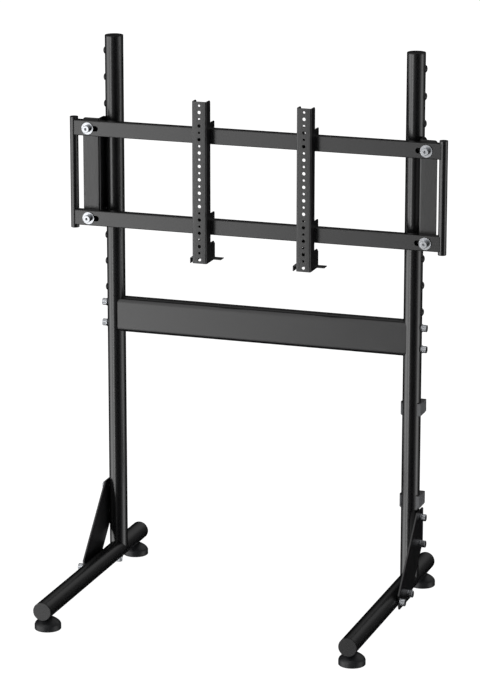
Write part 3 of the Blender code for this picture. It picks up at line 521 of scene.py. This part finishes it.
HEAD_RADIUS = 0.0105
HEAD_HEIGHT = 0.014
HEAD_EDGE = 0.0012
KNURL_TEETH = 44
KNURL_DEPTH = 0.0003
KNURL_INSET = 0.0014
SHANK_RADIUS = 0.007
SOCKET_WIDTH = 0.008
SOCKET_DEPTH = 0.007
SCREW_LENGTH = 0.025
RAIL_SCREW_LENGTH = 0.043
SCREW_SMOOTH = 25
HEXAGON = 6
WASHER = (0.012, 0.002)  # radius and thickness
RAIL_WASHER = (0.01825, 0.0025)
WASHER_EDGE = 0.0004

# Bright zinc plating: a pale, faintly cool metal, even and half-polished, with clouds 5 mm across from
# the bath. It mirrors the bright and dark of the room, so heads show a hard light and dark pattern.
zinc, tree, shader, own = new_material("bright_zinc_plate", {"Metallic": 1.0})
cloud = add_node(tree, "TexNoise", {"Scale": 1 / (5 * MM), "Detail": 3}, {"Vector": own}).outputs["Fac"]
tone = add_node(tree, "Mix", {6: linear("#c3c6ca"), 7: linear("#dadce0")}, {0: cloud}, data_type="RGBA")
gloss = add_node(tree, "MapRange", {"To Min": 0.2, "To Max": 0.28}, {"Value": cloud})
tree.links.new(tone.outputs[MIXED], shader.inputs["Base Color"])
tree.links.new(gloss.outputs["Result"], shader.inputs["Roughness"])


def cap_screw(length, washer):
    """Screw with its washer; the origin is under the washer and the shank runs down."""
    wide, thick = washer
    top = thick + HEAD_HEIGHT
    low, high = thick + KNURL_INSET, top - KNURL_INSET

    def knurl(radius, height, turn):
        """Radius with the teeth, which run along the side of the head between two plain bands."""
        if radius != HEAD_RADIUS or not low < height < high:
            return radius
        return radius - KNURL_DEPTH * (round(turn * 2 * KNURL_TEETH) % 2)

    inside = KNURL_INSET / 100
    profile = [
        (0, top),
        *quarter(HEAD_RADIUS, top, HEAD_EDGE, 3),
        (HEAD_RADIUS, high),
        (HEAD_RADIUS, high - inside),
        (HEAD_RADIUS, low + inside),
        (HEAD_RADIUS, low),
        (HEAD_RADIUS, thick),
        *quarter(wide, thick, WASHER_EDGE, 2),
        (wide, WASHER_EDGE),
        (wide - WASHER_EDGE, 0),
        (SHANK_RADIUS, 0),
        (SHANK_RADIUS, -length),
        (0, -length),
    ]
    corner = SOCKET_WIDTH / 2 / math.cos(math.pi / HEXAGON)
    socket = rods([((0, 0, top - SOCKET_DEPTH), (0, 0, top + PAST))], corner, HEXAGON)
    screw = combined(turned(profile, 2 * KNURL_TEETH, knurl), "DIFFERENCE", socket)
    return finished(screw, smooth=SCREW_SMOOTH)


def facing(sign):
    """Rotation that turns a screw's head outwards, to the left or to the right."""
    return (0, sign * math.pi / 2, 0)


screw = cap_screw(SCREW_LENGTH, WASHER)
outside = GUSSET_INNER + GUSSET_SHEET + TOUCH
GUSSET_SPOTS = {
    "post_upper": (POST_Y, GUSSET_BOLT_Z[0]),
    "post_lower": (POST_Y, GUSSET_BOLT_Z[1]),
    "foot_rear": (GUSSET_BOLT_Y[0], FOOT_Z),
    "foot_front": (GUSSET_BOLT_Y[1], FOOT_Z),
}
for side, sign in SIDES.items():
    for spot, (y, z) in GUSSET_SPOTS.items():
        name, node = f"strut_screw_{side}_{spot}", f"gusset_bolt_{side}_{spot}"
        place = (sign * outside, y, z)
        place_piece(name, screw, zinc, "frame", node, place, facing(sign))

# One more screw comes up through each foot tube from below and pulls the post down on to it.
for side, sign in SIDES.items():
    place = (sign * POST_X, POST_Y, FOOT_Z - TUBE_RADIUS - TOUCH)
    turn = (math.pi, 0, 0)
    place_piece(f"post_foot_screw_{side}", screw, zinc, "frame", None, place, turn)


# Crossbar
# A flat-oval steel tube, 105 x 50 mm with 14 mm corners, between the posts. Its ends are coped to the
# round tubes, and two screws at each end go through the post into a plate that is welded inside.

CROSSBAR_Z = 0.8105
CROSSBAR_HEIGHT = 0.105
CROSSBAR_DEPTH = 0.050
CROSSBAR_WALL = 0.002
CROSSBAR_CORNER = 0.014


def rounded_rectangle(width, height, radius, centre=(0, 0), steps=8):
    """Closed outline of a rectangle with rounded corners."""
    signs = ((1, 1), (-1, 1), (-1, -1), (1, -1))
    corners = [(centre[0] + a * width / 2, centre[1] + b * height / 2, radius) for a, b in signs]
    return rounded(corners, steps)


wall = 2 * CROSSBAR_WALL
shell = [
    rounded_rectangle(CROSSBAR_DEPTH, CROSSBAR_HEIGHT, CROSSBAR_CORNER),
    rounded_rectangle(CROSSBAR_DEPTH - wall, CROSSBAR_HEIGHT - wall, CROSSBAR_CORNER - CROSSBAR_WALL),
]
bar = extruded(shell, "X", -POST_X, POST_X)
past = CROSSBAR_HEIGHT / 2 + PAST
posts = [((sign * POST_X, 0, -past), (sign * POST_X, 0, past)) for sign in SIDES.values()]
bar = combined(bar, "DIFFERENCE", rods(posts, TUBE_RADIUS + TOUCH, TUBE_SIDES))
place = (0, POST_Y, CROSSBAR_Z)
place_piece("cross_tube", finished(bar), coat, "frame", "crossbar", place)

for side, sign in SIDES.items():
    for level, z in zip(("upper", "lower"), CROSSBAR_BOLT_Z):
        name, node = f"cross_tube_screw_{side}_{level}", f"crossbar_bolt_{side}_{level}"
        place = (sign * (POST_X + TUBE_RADIUS + TOUCH), POST_Y, z)
        place_piece(name, screw, zinc, "frame", node, place, facing(sign))


# Brackets
# Angles of 4 mm sheet. One flange, with its rear corners cut large and round, is screwed to the outer
# side of the post. The other stands behind the ends of both rails, with a weld nut for each rail screw.

BRACKET_SHEET = 0.004
BRACKET_BEND = 0.002
BRACKET_FRONT = POST_Y - 0.0538
BRACKET_REAR = POST_Y + 0.027
BRACKET_WIDTH = 0.0532
BRACKET_BOTTOM = 1.0888
BRACKET_TOP = 1.415
BRACKET_CORNER = 0.008
BRACKET_POST_CORNER = 0.045
POST_CORNER_STEPS = 24
BRACKET_EDGE = 0.4 * MM
BRACKET_HOLES = (3, 6)
RAIL_BOLT_X = 0.520
RAIL_HEIGHTS = {"upper": 1.38775, "lower": 1.11605}
WELD_NUT_RADIUS = 0.0115
WELD_NUT_HEIGHT = 0.010


def bent_sheet(path, sheet, bend):
    """Closed outline of a sheet on the left of a path along one of its faces, with round bends."""
    points = [Vector(point) for point in path]
    runs = [(b - a).normalized() for a, b in zip(points, points[1:])]
    normals = [Vector((-run.y, run.x)) for run in runs]
    near = [(*points[0], 0)]
    far = [(*(points[0] + normals[0] * sheet), 0)]
    for point, before, after, run, turn in zip(points[1:], normals, normals[1:], runs, runs[1:]):
        inner, outer = (bend, bend + sheet) if run.cross(turn) < 0 else (bend + sheet, bend)
        mitre = (before + after) * sheet / (1 + before.dot(after))
        near.append((*point, inner))
        far.append((*(point + mitre), outer))
    near.append((*points[-1], 0))
    far.append((*(points[-1] + normals[-1] * sheet), 0))
    return rounded(near + far[::-1])


middle = (BRACKET_TOP + BRACKET_BOTTOM) / 2
height = BRACKET_TOP - BRACKET_BOTTOM
for side, sign in SIDES.items():
    inner = sign * GUSSET_INNER
    far = sign * (GUSSET_INNER + BRACKET_WIDTH)
    path = [(inner, BRACKET_REAR), (inner, BRACKET_FRONT), (far, BRACKET_FRONT)]
    section = bent_sheet(path[::-1] if sign < 0 else path, BRACKET_SHEET, BRACKET_BEND)
    angle = extruded([section], "Z", BRACKET_BOTTOM, BRACKET_TOP)
    face = rounded_rectangle(2 * BRACKET_WIDTH, height, BRACKET_CORNER, (inner, middle))
    rail_face = extruded([face], "Y", BRACKET_FRONT - PAST, BRACKET_REAR + PAST)
    wide = 2 * (BRACKET_REAR - BRACKET_FRONT)
    face = rounded_rectangle(wide, height, BRACKET_POST_CORNER, (BRACKET_FRONT, middle), POST_CORNER_STEPS)
    post_face = extruded([face], "X", sign * POST_X, far + sign * PAST)
    angle = combined(angle, "INTERSECT", rail_face, post_face)
    nut_rear = BRACKET_FRONT + BRACKET_SHEET + WELD_NUT_HEIGHT
    x = sign * RAIL_BOLT_X
    nut_front = BRACKET_FRONT + BRACKET_SHEET / 2
    nuts = [((x, nut_front, z), (x, nut_rear, z)) for z in RAIL_HEIGHTS.values()]
    angle = combined(angle, "UNION", rods(nuts, WELD_NUT_RADIUS, HEXAGON))
    bores = [((x, BRACKET_FRONT - PAST, z), (x, nut_rear + PAST, z)) for z in RAIL_HEIGHTS.values()]
    heights = [hole_heights[i] for i in BRACKET_HOLES]
    bores += [((sign * POST_X, POST_Y, z), (far, POST_Y, z)) for z in heights]
    angle = finished(combined(angle, "DIFFERENCE", rods(bores, BOLT_HOLE)), BRACKET_EDGE)
    place_piece(f"angle_{side}", angle, sand, "frame", f"bracket_{side}")
    for level, z in zip(("upper", "lower"), heights):
        name, node = f"angle_screw_{side}_{level}", f"bracket_bolt_{side}_{level}"
        place = (sign * (GUSSET_INNER + BRACKET_SHEET + TOUCH), POST_Y, z)
        place_piece(name, screw, zinc, "frame", node, place, facing(sign))


# Rails
# Two rectangular steel tubes, 46 x 26 mm, run in front of the posts from bracket to bracket. A slot
# with round ends goes through both walls near each end, and the ends are coped to the end tubes.

RAIL_FRONT = 0.14305
RAIL_REAR = 0.16905
RAIL_HEIGHT = 0.046
RAIL_WALL = 0.002
RAIL_CORNER = 0.003
RAIL_END = 0.5627
END_TUBE_X = 0.5677
END_TUBE_RADIUS = 0.0125
SLOT_RADIUS = 0.00835
SLOT_OUTER = 0.537 - SLOT_RADIUS
SLOT_INNER = 0.487 + SLOT_RADIUS
SLOT_STEPS = 12

depth = RAIL_REAR - RAIL_FRONT
wall = 2 * RAIL_WALL
for level, z in RAIL_HEIGHTS.items():
    shell = [
        rounded_rectangle(depth, RAIL_HEIGHT, RAIL_CORNER),
        rounded_rectangle(depth - wall, RAIL_HEIGHT - wall, RAIL_CORNER - RAIL_WALL),
    ]
    tube = extruded(shell, "X", -RAIL_END, RAIL_END)
    for sign in SIDES.values():
        turns = [math.pi * (i / SLOT_STEPS - 1 / 2) for i in range(SLOT_STEPS + 1)]
        slot = [(SLOT_OUTER + SLOT_RADIUS * math.cos(t), SLOT_RADIUS * math.sin(t)) for t in turns]
        slot += [(SLOT_INNER - SLOT_RADIUS * math.cos(t), -SLOT_RADIUS * math.sin(t)) for t in turns]
        slot = [(sign * x, z) for x, z in slot]
        past = depth + PAST
        axis = [((sign * END_TUBE_X, 0, -past), (sign * END_TUBE_X, 0, past))]
        cope = rods(axis, END_TUBE_RADIUS + TOUCH, TUBE_SIDES)
        tube = combined(tube, "DIFFERENCE", extruded([slot], "Y", -depth, depth), cope)
    place = (0, (RAIL_FRONT + RAIL_REAR) / 2, z)
    place_piece(f"screen_rail_{level}", finished(tube), coat, "frame", f"rail_{level}", place)

rail_screw = cap_screw(RAIL_SCREW_LENGTH, RAIL_WASHER)
for level, z in RAIL_HEIGHTS.items():
    for side, sign in SIDES.items():
        name, node = f"rail_screw_{level}_{side}", f"rail_bolt_{level}_{side}"
        place = (sign * RAIL_BOLT_X, RAIL_FRONT - TOUCH, z)
        turn = (math.pi / 2, 0, 0)
        place_piece(name, rail_screw, zinc, "frame", node, place, turn)


# End tubes
# A round steel tube, 25 x 2 mm, stands across the ends of both rails on each side and keeps the pair
# square. It has the coat of the rails, and a small polyethylene cap closes it above and below.

END_TUBE_BOTTOM = 1.08295
END_TUBE_TOP = 1.41945
END_CAP_FLANGE = 0.0015
END_TUBE_SIDES = 64

end_tube_cap = end_cap(END_TUBE_RADIUS, END_CAP_FLANGE)
bottom = END_TUBE_BOTTOM + END_CAP_FLANGE + TOUCH
top = END_TUBE_TOP - END_CAP_FLANGE - TOUCH
shell = [ring(END_TUBE_RADIUS, END_TUBE_SIDES), ring(END_TUBE_RADIUS - TUBE_WALL, END_TUBE_SIDES)]
end_tube = finished(extruded(shell, "Z", bottom, top))
for side, sign in SIDES.items():
    x, y = sign * END_TUBE_X, (RAIL_FRONT + RAIL_REAR) / 2
    place_piece(f"end_tube_{side}", end_tube, coat, "frame", f"end_channel_{side}", (x, y, 0))
    for level, z, turn in (("top", top - CAP_INSERT, 0), ("bottom", bottom + CAP_INSERT, math.pi)):
        name = f"end_tube_cap_{side}_{level}"
        place_piece(name, end_tube_cap, plastic, "frame", None, (x, y, z), (turn, 0, 0))


# Screen arms
# Upright channels of 2.5 mm sheet, folded with tight bends, that hang on both rails by hooks cut in
# their flanges. A column of holes, 20 mm apart and alternately small and large, takes the screen.

ARM_X = {"left": -0.1571, "right": 0.1635}
ARM_WIDTH = 0.045
ARM_SHEET = 0.0025
ARM_BEND = 0.0015
ARM_TOP = 1.49645
ARM_BOTTOM = 1.01245
ARM_TOP_CORNER = 0.008
ARM_BACK = RAIL_FRONT - TOUCH
ARM_DEPTH = 0.0361
ARM_HOLE_TOP = 1.48445
ARM_HOLE_PITCH = 0.020
ARM_HOLE_COUNT = 24
ARM_HOLE_RADII = (0.0035, 0.005)  # every other hole, from the top
ARM_EDGE = 0.25 * MM
HOOK_BAND = 0.019
HOOK_BACK = 0.010
HOOK_DROP = 0.018
HOOK_CORNER = 0.006
FOOT_BACK = RAIL_REAR + 0.0126
FOOT_TOP = ARM_BOTTOM + 0.048
FOOT_CHAMFER = (0.0115, 0.0095)
LATCH_Y = 0.16115
LATCH_Z = 1.04605
PIN_RADIUS = 0.004


def hook(rail_z):
    """Rear edge of a flange where it hooks over a rail, from below the rail to above the hook."""
    over = rail_z + RAIL_HEIGHT / 2 + TOUCH
    behind = RAIL_REAR + TOUCH
    return [
        (ARM_BACK, over, 0),
        (behind, over, 0),
        (behind, over - HOOK_DROP, 0),
        (behind + HOOK_BACK, over - HOOK_DROP, 0),
        (behind + HOOK_BACK, over + HOOK_BAND, HOOK_CORNER),
        (ARM_BACK, over + HOOK_BAND, 0),
    ]


front = -ARM_DEPTH
flange = rounded(
    [
        (y - ARM_BACK, z, radius)
        for y, z, radius in [
            (ARM_BACK + front - ARM_SHEET, ARM_BOTTOM, 0),
            (FOOT_BACK, ARM_BOTTOM, 0),
            (FOOT_BACK, FOOT_TOP, 0),
            (FOOT_BACK - FOOT_CHAMFER[0], FOOT_TOP + FOOT_CHAMFER[1], 0),
            (ARM_BACK, FOOT_TOP + FOOT_CHAMFER[1], 0),
            *hook(RAIL_HEIGHTS["lower"]),
            *hook(RAIL_HEIGHTS["upper"]),
            (ARM_BACK, ARM_TOP, ARM_TOP_CORNER),
            (ARM_BACK + front - ARM_SHEET, ARM_TOP, 0),
        ]
    ]
)
half = ARM_WIDTH / 2
back = 2 * FOOT_BACK - ARM_BACK - RAIL_REAR  # past the outline that is cut from the channel
section = bent_sheet([(-half, back), (-half, front), (half, front), (half, back)], ARM_SHEET, ARM_BEND)
blank = extruded([section], "Z", ARM_BOTTOM - ARM_SHEET, ARM_TOP + ARM_SHEET)
blank = combined(blank, "INTERSECT", extruded([flange], "X", -ARM_WIDTH, ARM_WIDTH))
pivot = (LATCH_Y - ARM_BACK, LATCH_Z)
bores = [rods([((-ARM_WIDTH, *pivot), (ARM_WIDTH, *pivot))], PIN_RADIUS + TOUCH)]
for first, radius in enumerate(ARM_HOLE_RADII):
    column = [ARM_HOLE_TOP - i * ARM_HOLE_PITCH for i in range(first, ARM_HOLE_COUNT, 2)]
    bores.append(rods([((0, front - PAST, z), (0, front + PAST, z)) for z in column], radius))
arm_mesh = finished(combined(blank, "DIFFERENCE", *bores), ARM_EDGE)
for side, x in ARM_X.items():
    place = (x, ARM_BACK, 0)
    place_piece(f"screen_arm_{side}", arm_mesh, sand, f"arm_{side}", f"arm_{side}", place)


# Latches
# A bent lever of the same sheet turns on a pin in the foot of each arm. Its nose lies under the lower
# rail so that the arm can't lift off, and the tab behind the arm is pressed to let it go.

LATCH_SHEET = 0.0025
LATCH_BEND = 0.001
LATCH_HALF = 0.017
LATCH_LEG = 0.0063
LATCH_NOSE = 0.010
LATCH_KNEE = 0.022
TAB_DROP = 0.0012
TAB_START = 0.0015
TAB_DEPTH = 0.028
TAB_RIGHT = 0.040
TAB_LEFT = 0.057
TAB_LIP = 0.018
PIN_END = 0.0237

nose_top = RAIL_HEIGHTS["lower"] - RAIL_HEIGHT / 2 - TOUCH - LATCH_Z
tab_top = ARM_BOTTOM - TAB_DROP - LATCH_Z
tab_front = FOOT_BACK + TAB_START - LATCH_Y
lever = bent_sheet(
    [
        (-LATCH_LEG - LATCH_NOSE, nose_top),
        (LATCH_SHEET - LATCH_LEG, nose_top),
        (LATCH_SHEET - LATCH_LEG, -LATCH_KNEE),
        (tab_front, tab_top),
        (tab_front + TAB_DEPTH / 2, tab_top),
    ][::-1],
    LATCH_SHEET,
    LATCH_BEND,
)
tab = [(-TAB_LEFT, tab_top - TAB_LIP), (-TAB_LEFT, tab_top), (TAB_RIGHT, tab_top)]
tab = bent_sheet(tab[::-1], LATCH_SHEET, LATCH_BEND)
latch = combined(
    extruded([lever], "X", -LATCH_HALF, LATCH_HALF),
    "UNION",
    extruded([tab], "Y", tab_front, tab_front + TAB_DEPTH),
    rods([((-PIN_END, 0, 0), (PIN_END, 0, 0))], PIN_RADIUS),
)
latch_mesh = finished(latch, ARM_EDGE)
for side, x in ARM_X.items():
    place = (x, LATCH_Y, LATCH_Z)
    place_piece(f"arm_latch_{side}", latch_mesh, sand, f"latch_{side}", f"latch_{side}", place)


# Cable clips
# Two moulded clips of black nylon snap round the right post, one under the crossbar and one above the
# gusset. A square block on the outer rear side has a bore for the cable, open to the side by a slot.

CLIP_BOTTOMS = {"upper": 0.579, "lower": 0.2945}
CLIP_HEIGHT = 0.037
CLIP_BORE = TUBE_RADIUS + TOUCH
CLIP_WALL = 0.0042
CLIP_MOUTH = -40  # degrees from +X to the end of the ring, towards the front
CLIP_SIDE = CLIP_BORE + 0.0052
CLIP_REAR = CLIP_BORE + 0.017
CLIP_CORNER = 0.003
CABLE_HOLE = 0.005
CABLE_INSET = 0.0068
CABLE_SLOT = 0.006
CLIP_EDGE = 0.5 * MM
INNER_STEPS = 60
OUTER_STEPS = 30

# Moulded black nylon with a soft sheen. Its colour is a painted sheen: a mid grey stands in for the light
# its black skin reflects, so that it looks dark grey beside the coat. Slight flow marks 6 mm long are all
# that breaks the even skin.
nylon_painted_sheen, tree, shader, own = new_material("black_nylon_painted_sheen", {"IOR": 1.53})
flow = add_node(tree, "TexNoise", {"Scale": 1 / (6 * MM), "Detail": 3}, {"Vector": own}).outputs["Fac"]
# Painted sheen: both greys stand in for light that black nylon reflects, not for the colour of the nylon.
tone = add_node(tree, "Mix", {6: linear("#58595b"), 7: linear("#6c6d6f")}, {0: flow}, data_type="RGBA")
gloss = add_node(tree, "MapRange", {"To Min": 0.4, "To Max": 0.5}, {"Value": flow})
skin = add_node(tree, "Bump", {"Strength": 0.15, "Distance": 0.1 * MM}, {"Height": flow})
dress(tree, shader, tone, gloss, skin)

opening = 180 - 2 * CLIP_MOUTH
inner = [math.radians(CLIP_MOUTH + i * opening / INNER_STEPS) for i in range(INNER_STEPS + 1)]
outer = [math.radians(90 + i * (90 - CLIP_MOUTH) / OUTER_STEPS) for i in range(OUTER_STEPS + 1)]
mouth = (CLIP_BORE * math.cos(inner[0]), CLIP_BORE * math.sin(inner[0]))
outline = rounded(
    [
        (*mouth, 0),
        (CLIP_SIDE, mouth[1], CLIP_CORNER),
        (CLIP_SIDE, CLIP_REAR, CLIP_CORNER),
        (0, CLIP_REAR, 0),
    ]
)
outline += [((CLIP_BORE + CLIP_WALL) * math.cos(t), (CLIP_BORE + CLIP_WALL) * math.sin(t)) for t in outer]
outline += [(CLIP_BORE * math.cos(t), CLIP_BORE * math.sin(t)) for t in inner[:0:-1]]
hole = (CLIP_SIDE - CABLE_INSET, CLIP_REAR - CABLE_INSET)
slit = rounded_rectangle(2 * CABLE_INSET, CABLE_SLOT, 0, (CLIP_SIDE, hole[1]))
clip_mesh = finished(
    combined(
        extruded([outline], "Z", 0, CLIP_HEIGHT),
        "DIFFERENCE",
        rods([((*hole, -PAST), (*hole, CLIP_HEIGHT + PAST))], CABLE_HOLE),
        extruded([slit], "Z", -PAST, CLIP_HEIGHT + PAST),
    ),
    CLIP_EDGE,
)
for level, bottom in CLIP_BOTTOMS.items():
    name = f"cable_clip_{level}"
    place = (POST_X, POST_Y, bottom)
    place_piece(f"cable_holder_{level}", clip_mesh, nylon_painted_sheen, "frame", name, place)


# Studio
# A white floor that glows a little, like a light table, and a light tent round the stand: a wide bright
# wall to the front left, a narrower one to the right, a glow overhead, and dark behind the camera.

FLOOR_RADIUS = 40.0
FLOOR_SIDES = 128
BACKDROP_HEIGHT = 60.0

sheet = bmesh.new()
bmesh.ops.create_circle(sheet, cap_ends=True, segments=FLOOR_SIDES, radius=FLOOR_RADIUS)
floor_mesh = bpy.data.meshes.new("studio_floor")
sheet.to_mesh(floor_mesh)
sheet.free()
floor = bpy.data.objects.new("studio_floor", floor_mesh)
bpy.context.scene.collection.objects.link(floor)
# The coats mirror the tent below the horizon as well, so the floor neither shows in them nor shades it.
floor.visible_glossy = floor.visible_shadow = False
white, tree, shader, own = new_material(
    "white_acrylic", {"Base Color": linear("#808080"), "Roughness": 0.9, "Specular IOR Level": 0.0}
)
shader.inputs["Emission Color"].default_value = linear("#ffffff")
shader.inputs["Emission Strength"].default_value = 1.0
floor_mesh.materials.append(white)

# A round white backdrop at the floor's rim closes the view above the horizon; only the camera sees it.
sheet = bmesh.new()
bmesh.ops.create_circle(sheet, segments=FLOOR_SIDES, radius=FLOOR_RADIUS)
raised = bmesh.ops.extrude_edge_only(sheet, edges=sheet.edges[:])["geom"]
rim = [part for part in raised if isinstance(part, bmesh.types.BMVert)]
bmesh.ops.translate(sheet, vec=(0, 0, BACKDROP_HEIGHT), verts=rim)
backdrop_mesh = bpy.data.meshes.new("studio_backdrop")
sheet.to_mesh(backdrop_mesh)
sheet.free()
backdrop_mesh.materials.append(white)
backdrop = bpy.data.objects.new("studio_backdrop", backdrop_mesh)
bpy.context.scene.collection.objects.link(backdrop)
backdrop.visible_glossy = backdrop.visible_diffuse = backdrop.visible_shadow = False

# Brightness of the tent by compass angle from the front, in degrees towards the right: a band below the
# horizon, which upright pieces mirror to the camera, one above it, and one near the top. Every band fades
# evenly from one angle to the next.
LOW_BAND = (
    (-180, 0), (-100, 0), (-80, 1.77), (-62, 2.62), (-46, 1.53), (-34, 1.3), (-27, 4.56), (-21, 1.43),
    (-15, 0), (45, 0), (65, 0.16), (80, 0.9), (95, 2.16), (112, 0.55), (130, 0), (180, 0),
)
HIGH_BAND = ((-180, 0), (-95, 0), (-55, 0.87), (-20, 0.9), (20, 0), (75, 0.03), (125, 0.16), (180, 0))
TOP_BAND = ((-180, 0.53), (-120, 0), (-30, 0.89), (60, 0), (150, 0.8), (180, 0.53))
# Sines of the elevations at which each band starts, is brightest and ends
HEIGHTS = ((-0.75, -0.3, 0.2), (-0.3, 0.2, 0.8), (0.2, 0.8, 2.0))

world = bpy.data.worlds.new("light_tent")
bpy.context.scene.world = world
world.use_nodes = True
tree = world.node_tree
glow = tree.nodes["Background"]
aim = add_node(tree, "TexCoord").outputs["Generated"]
axis = add_node(tree, "SeparateXYZ", links={"Vector": aim})
x, y, z = axis.outputs
front_y = add_node(tree, "Math", {1: -1.0}, {0: y}, operation="MULTIPLY")
turn = add_node(tree, "Math", links={0: x, 1: front_y.outputs[0]}, operation="ARCTAN2")
share = add_node(tree, "MapRange", {"From Min": -math.pi, "From Max": math.pi}, {"Value": turn.outputs[0]})
total = None
for table, (foot, middle, head) in zip((LOW_BAND, HIGH_BAND, TOP_BAND), HEIGHTS):
    peak = max(level for _, level in table)
    wall = add_node(tree, "ValToRGB", links={"Fac": share.outputs["Result"]})
    stops = wall.color_ramp.elements
    for angle, _ in table[1:-1]:
        stops.new((angle + 180) / 360)
    for stop, (_, level) in zip(stops, table):
        stop.color = (*[level / peak] * 3, 1)
    rise = add_node(tree, "MapRange", {"From Min": foot, "From Max": middle, "To Max": peak}, {"Value": z})
    sink = add_node(
        tree, "MapRange", {"From Min": middle, "From Max": head, "To Min": 1.0, "To Max": 0.0}, {"Value": z}
    )
    fade = add_node(tree, "Math", links={0: rise.outputs[0], 1: sink.outputs[0]}, operation="MULTIPLY")
    band = add_node(tree, "Math", links={0: wall.outputs["Color"], 1: fade.outputs[0]}, operation="MULTIPLY")
    if total:
        band = add_node(tree, "Math", links={0: total.outputs[0], 1: band.outputs[0]}, operation="ADD")
    total = band
tree.links.new(total.outputs[0], glow.inputs["Strength"])
glow.inputs["Color"].default_value = linear("#ffffff")


# Camera
# A long lens from the front right and above, at the photograph's viewing angle, aimed a little above the
# middle of the stand. It has no depth of field, and the colours are shown as they are, with no film look.

CAMERA_TARGET = Vector((-0.0707, 0.2231, 0.7278))
CAMERA_TURN = math.radians(18.86)
CAMERA_RISE = math.radians(14.98)
CAMERA_DISTANCE = 9.968
CAMERA_LENS = 250.15
CAMERA_SENSOR = 36
CAMERA_REACH = 200

camera_data = bpy.data.cameras.new("camera")
camera_data.lens = CAMERA_LENS
camera_data.sensor_width = CAMERA_SENSOR
camera_data.sensor_fit = "HORIZONTAL"
camera_data.clip_end = CAMERA_REACH
camera = bpy.data.objects.new("camera", camera_data)
bpy.context.scene.collection.objects.link(camera)
along = Vector(
    (
        math.sin(CAMERA_TURN) * math.cos(CAMERA_RISE),
        -math.cos(CAMERA_TURN) * math.cos(CAMERA_RISE),
        math.sin(CAMERA_RISE),
    )
)
camera.location = CAMERA_TARGET + along * CAMERA_DISTANCE
camera.rotation_euler = (-along).to_track_quat("-Z", "Y").to_euler()
bpy.context.scene.camera = camera
bpy.context.scene.view_settings.view_transform = "Standard"
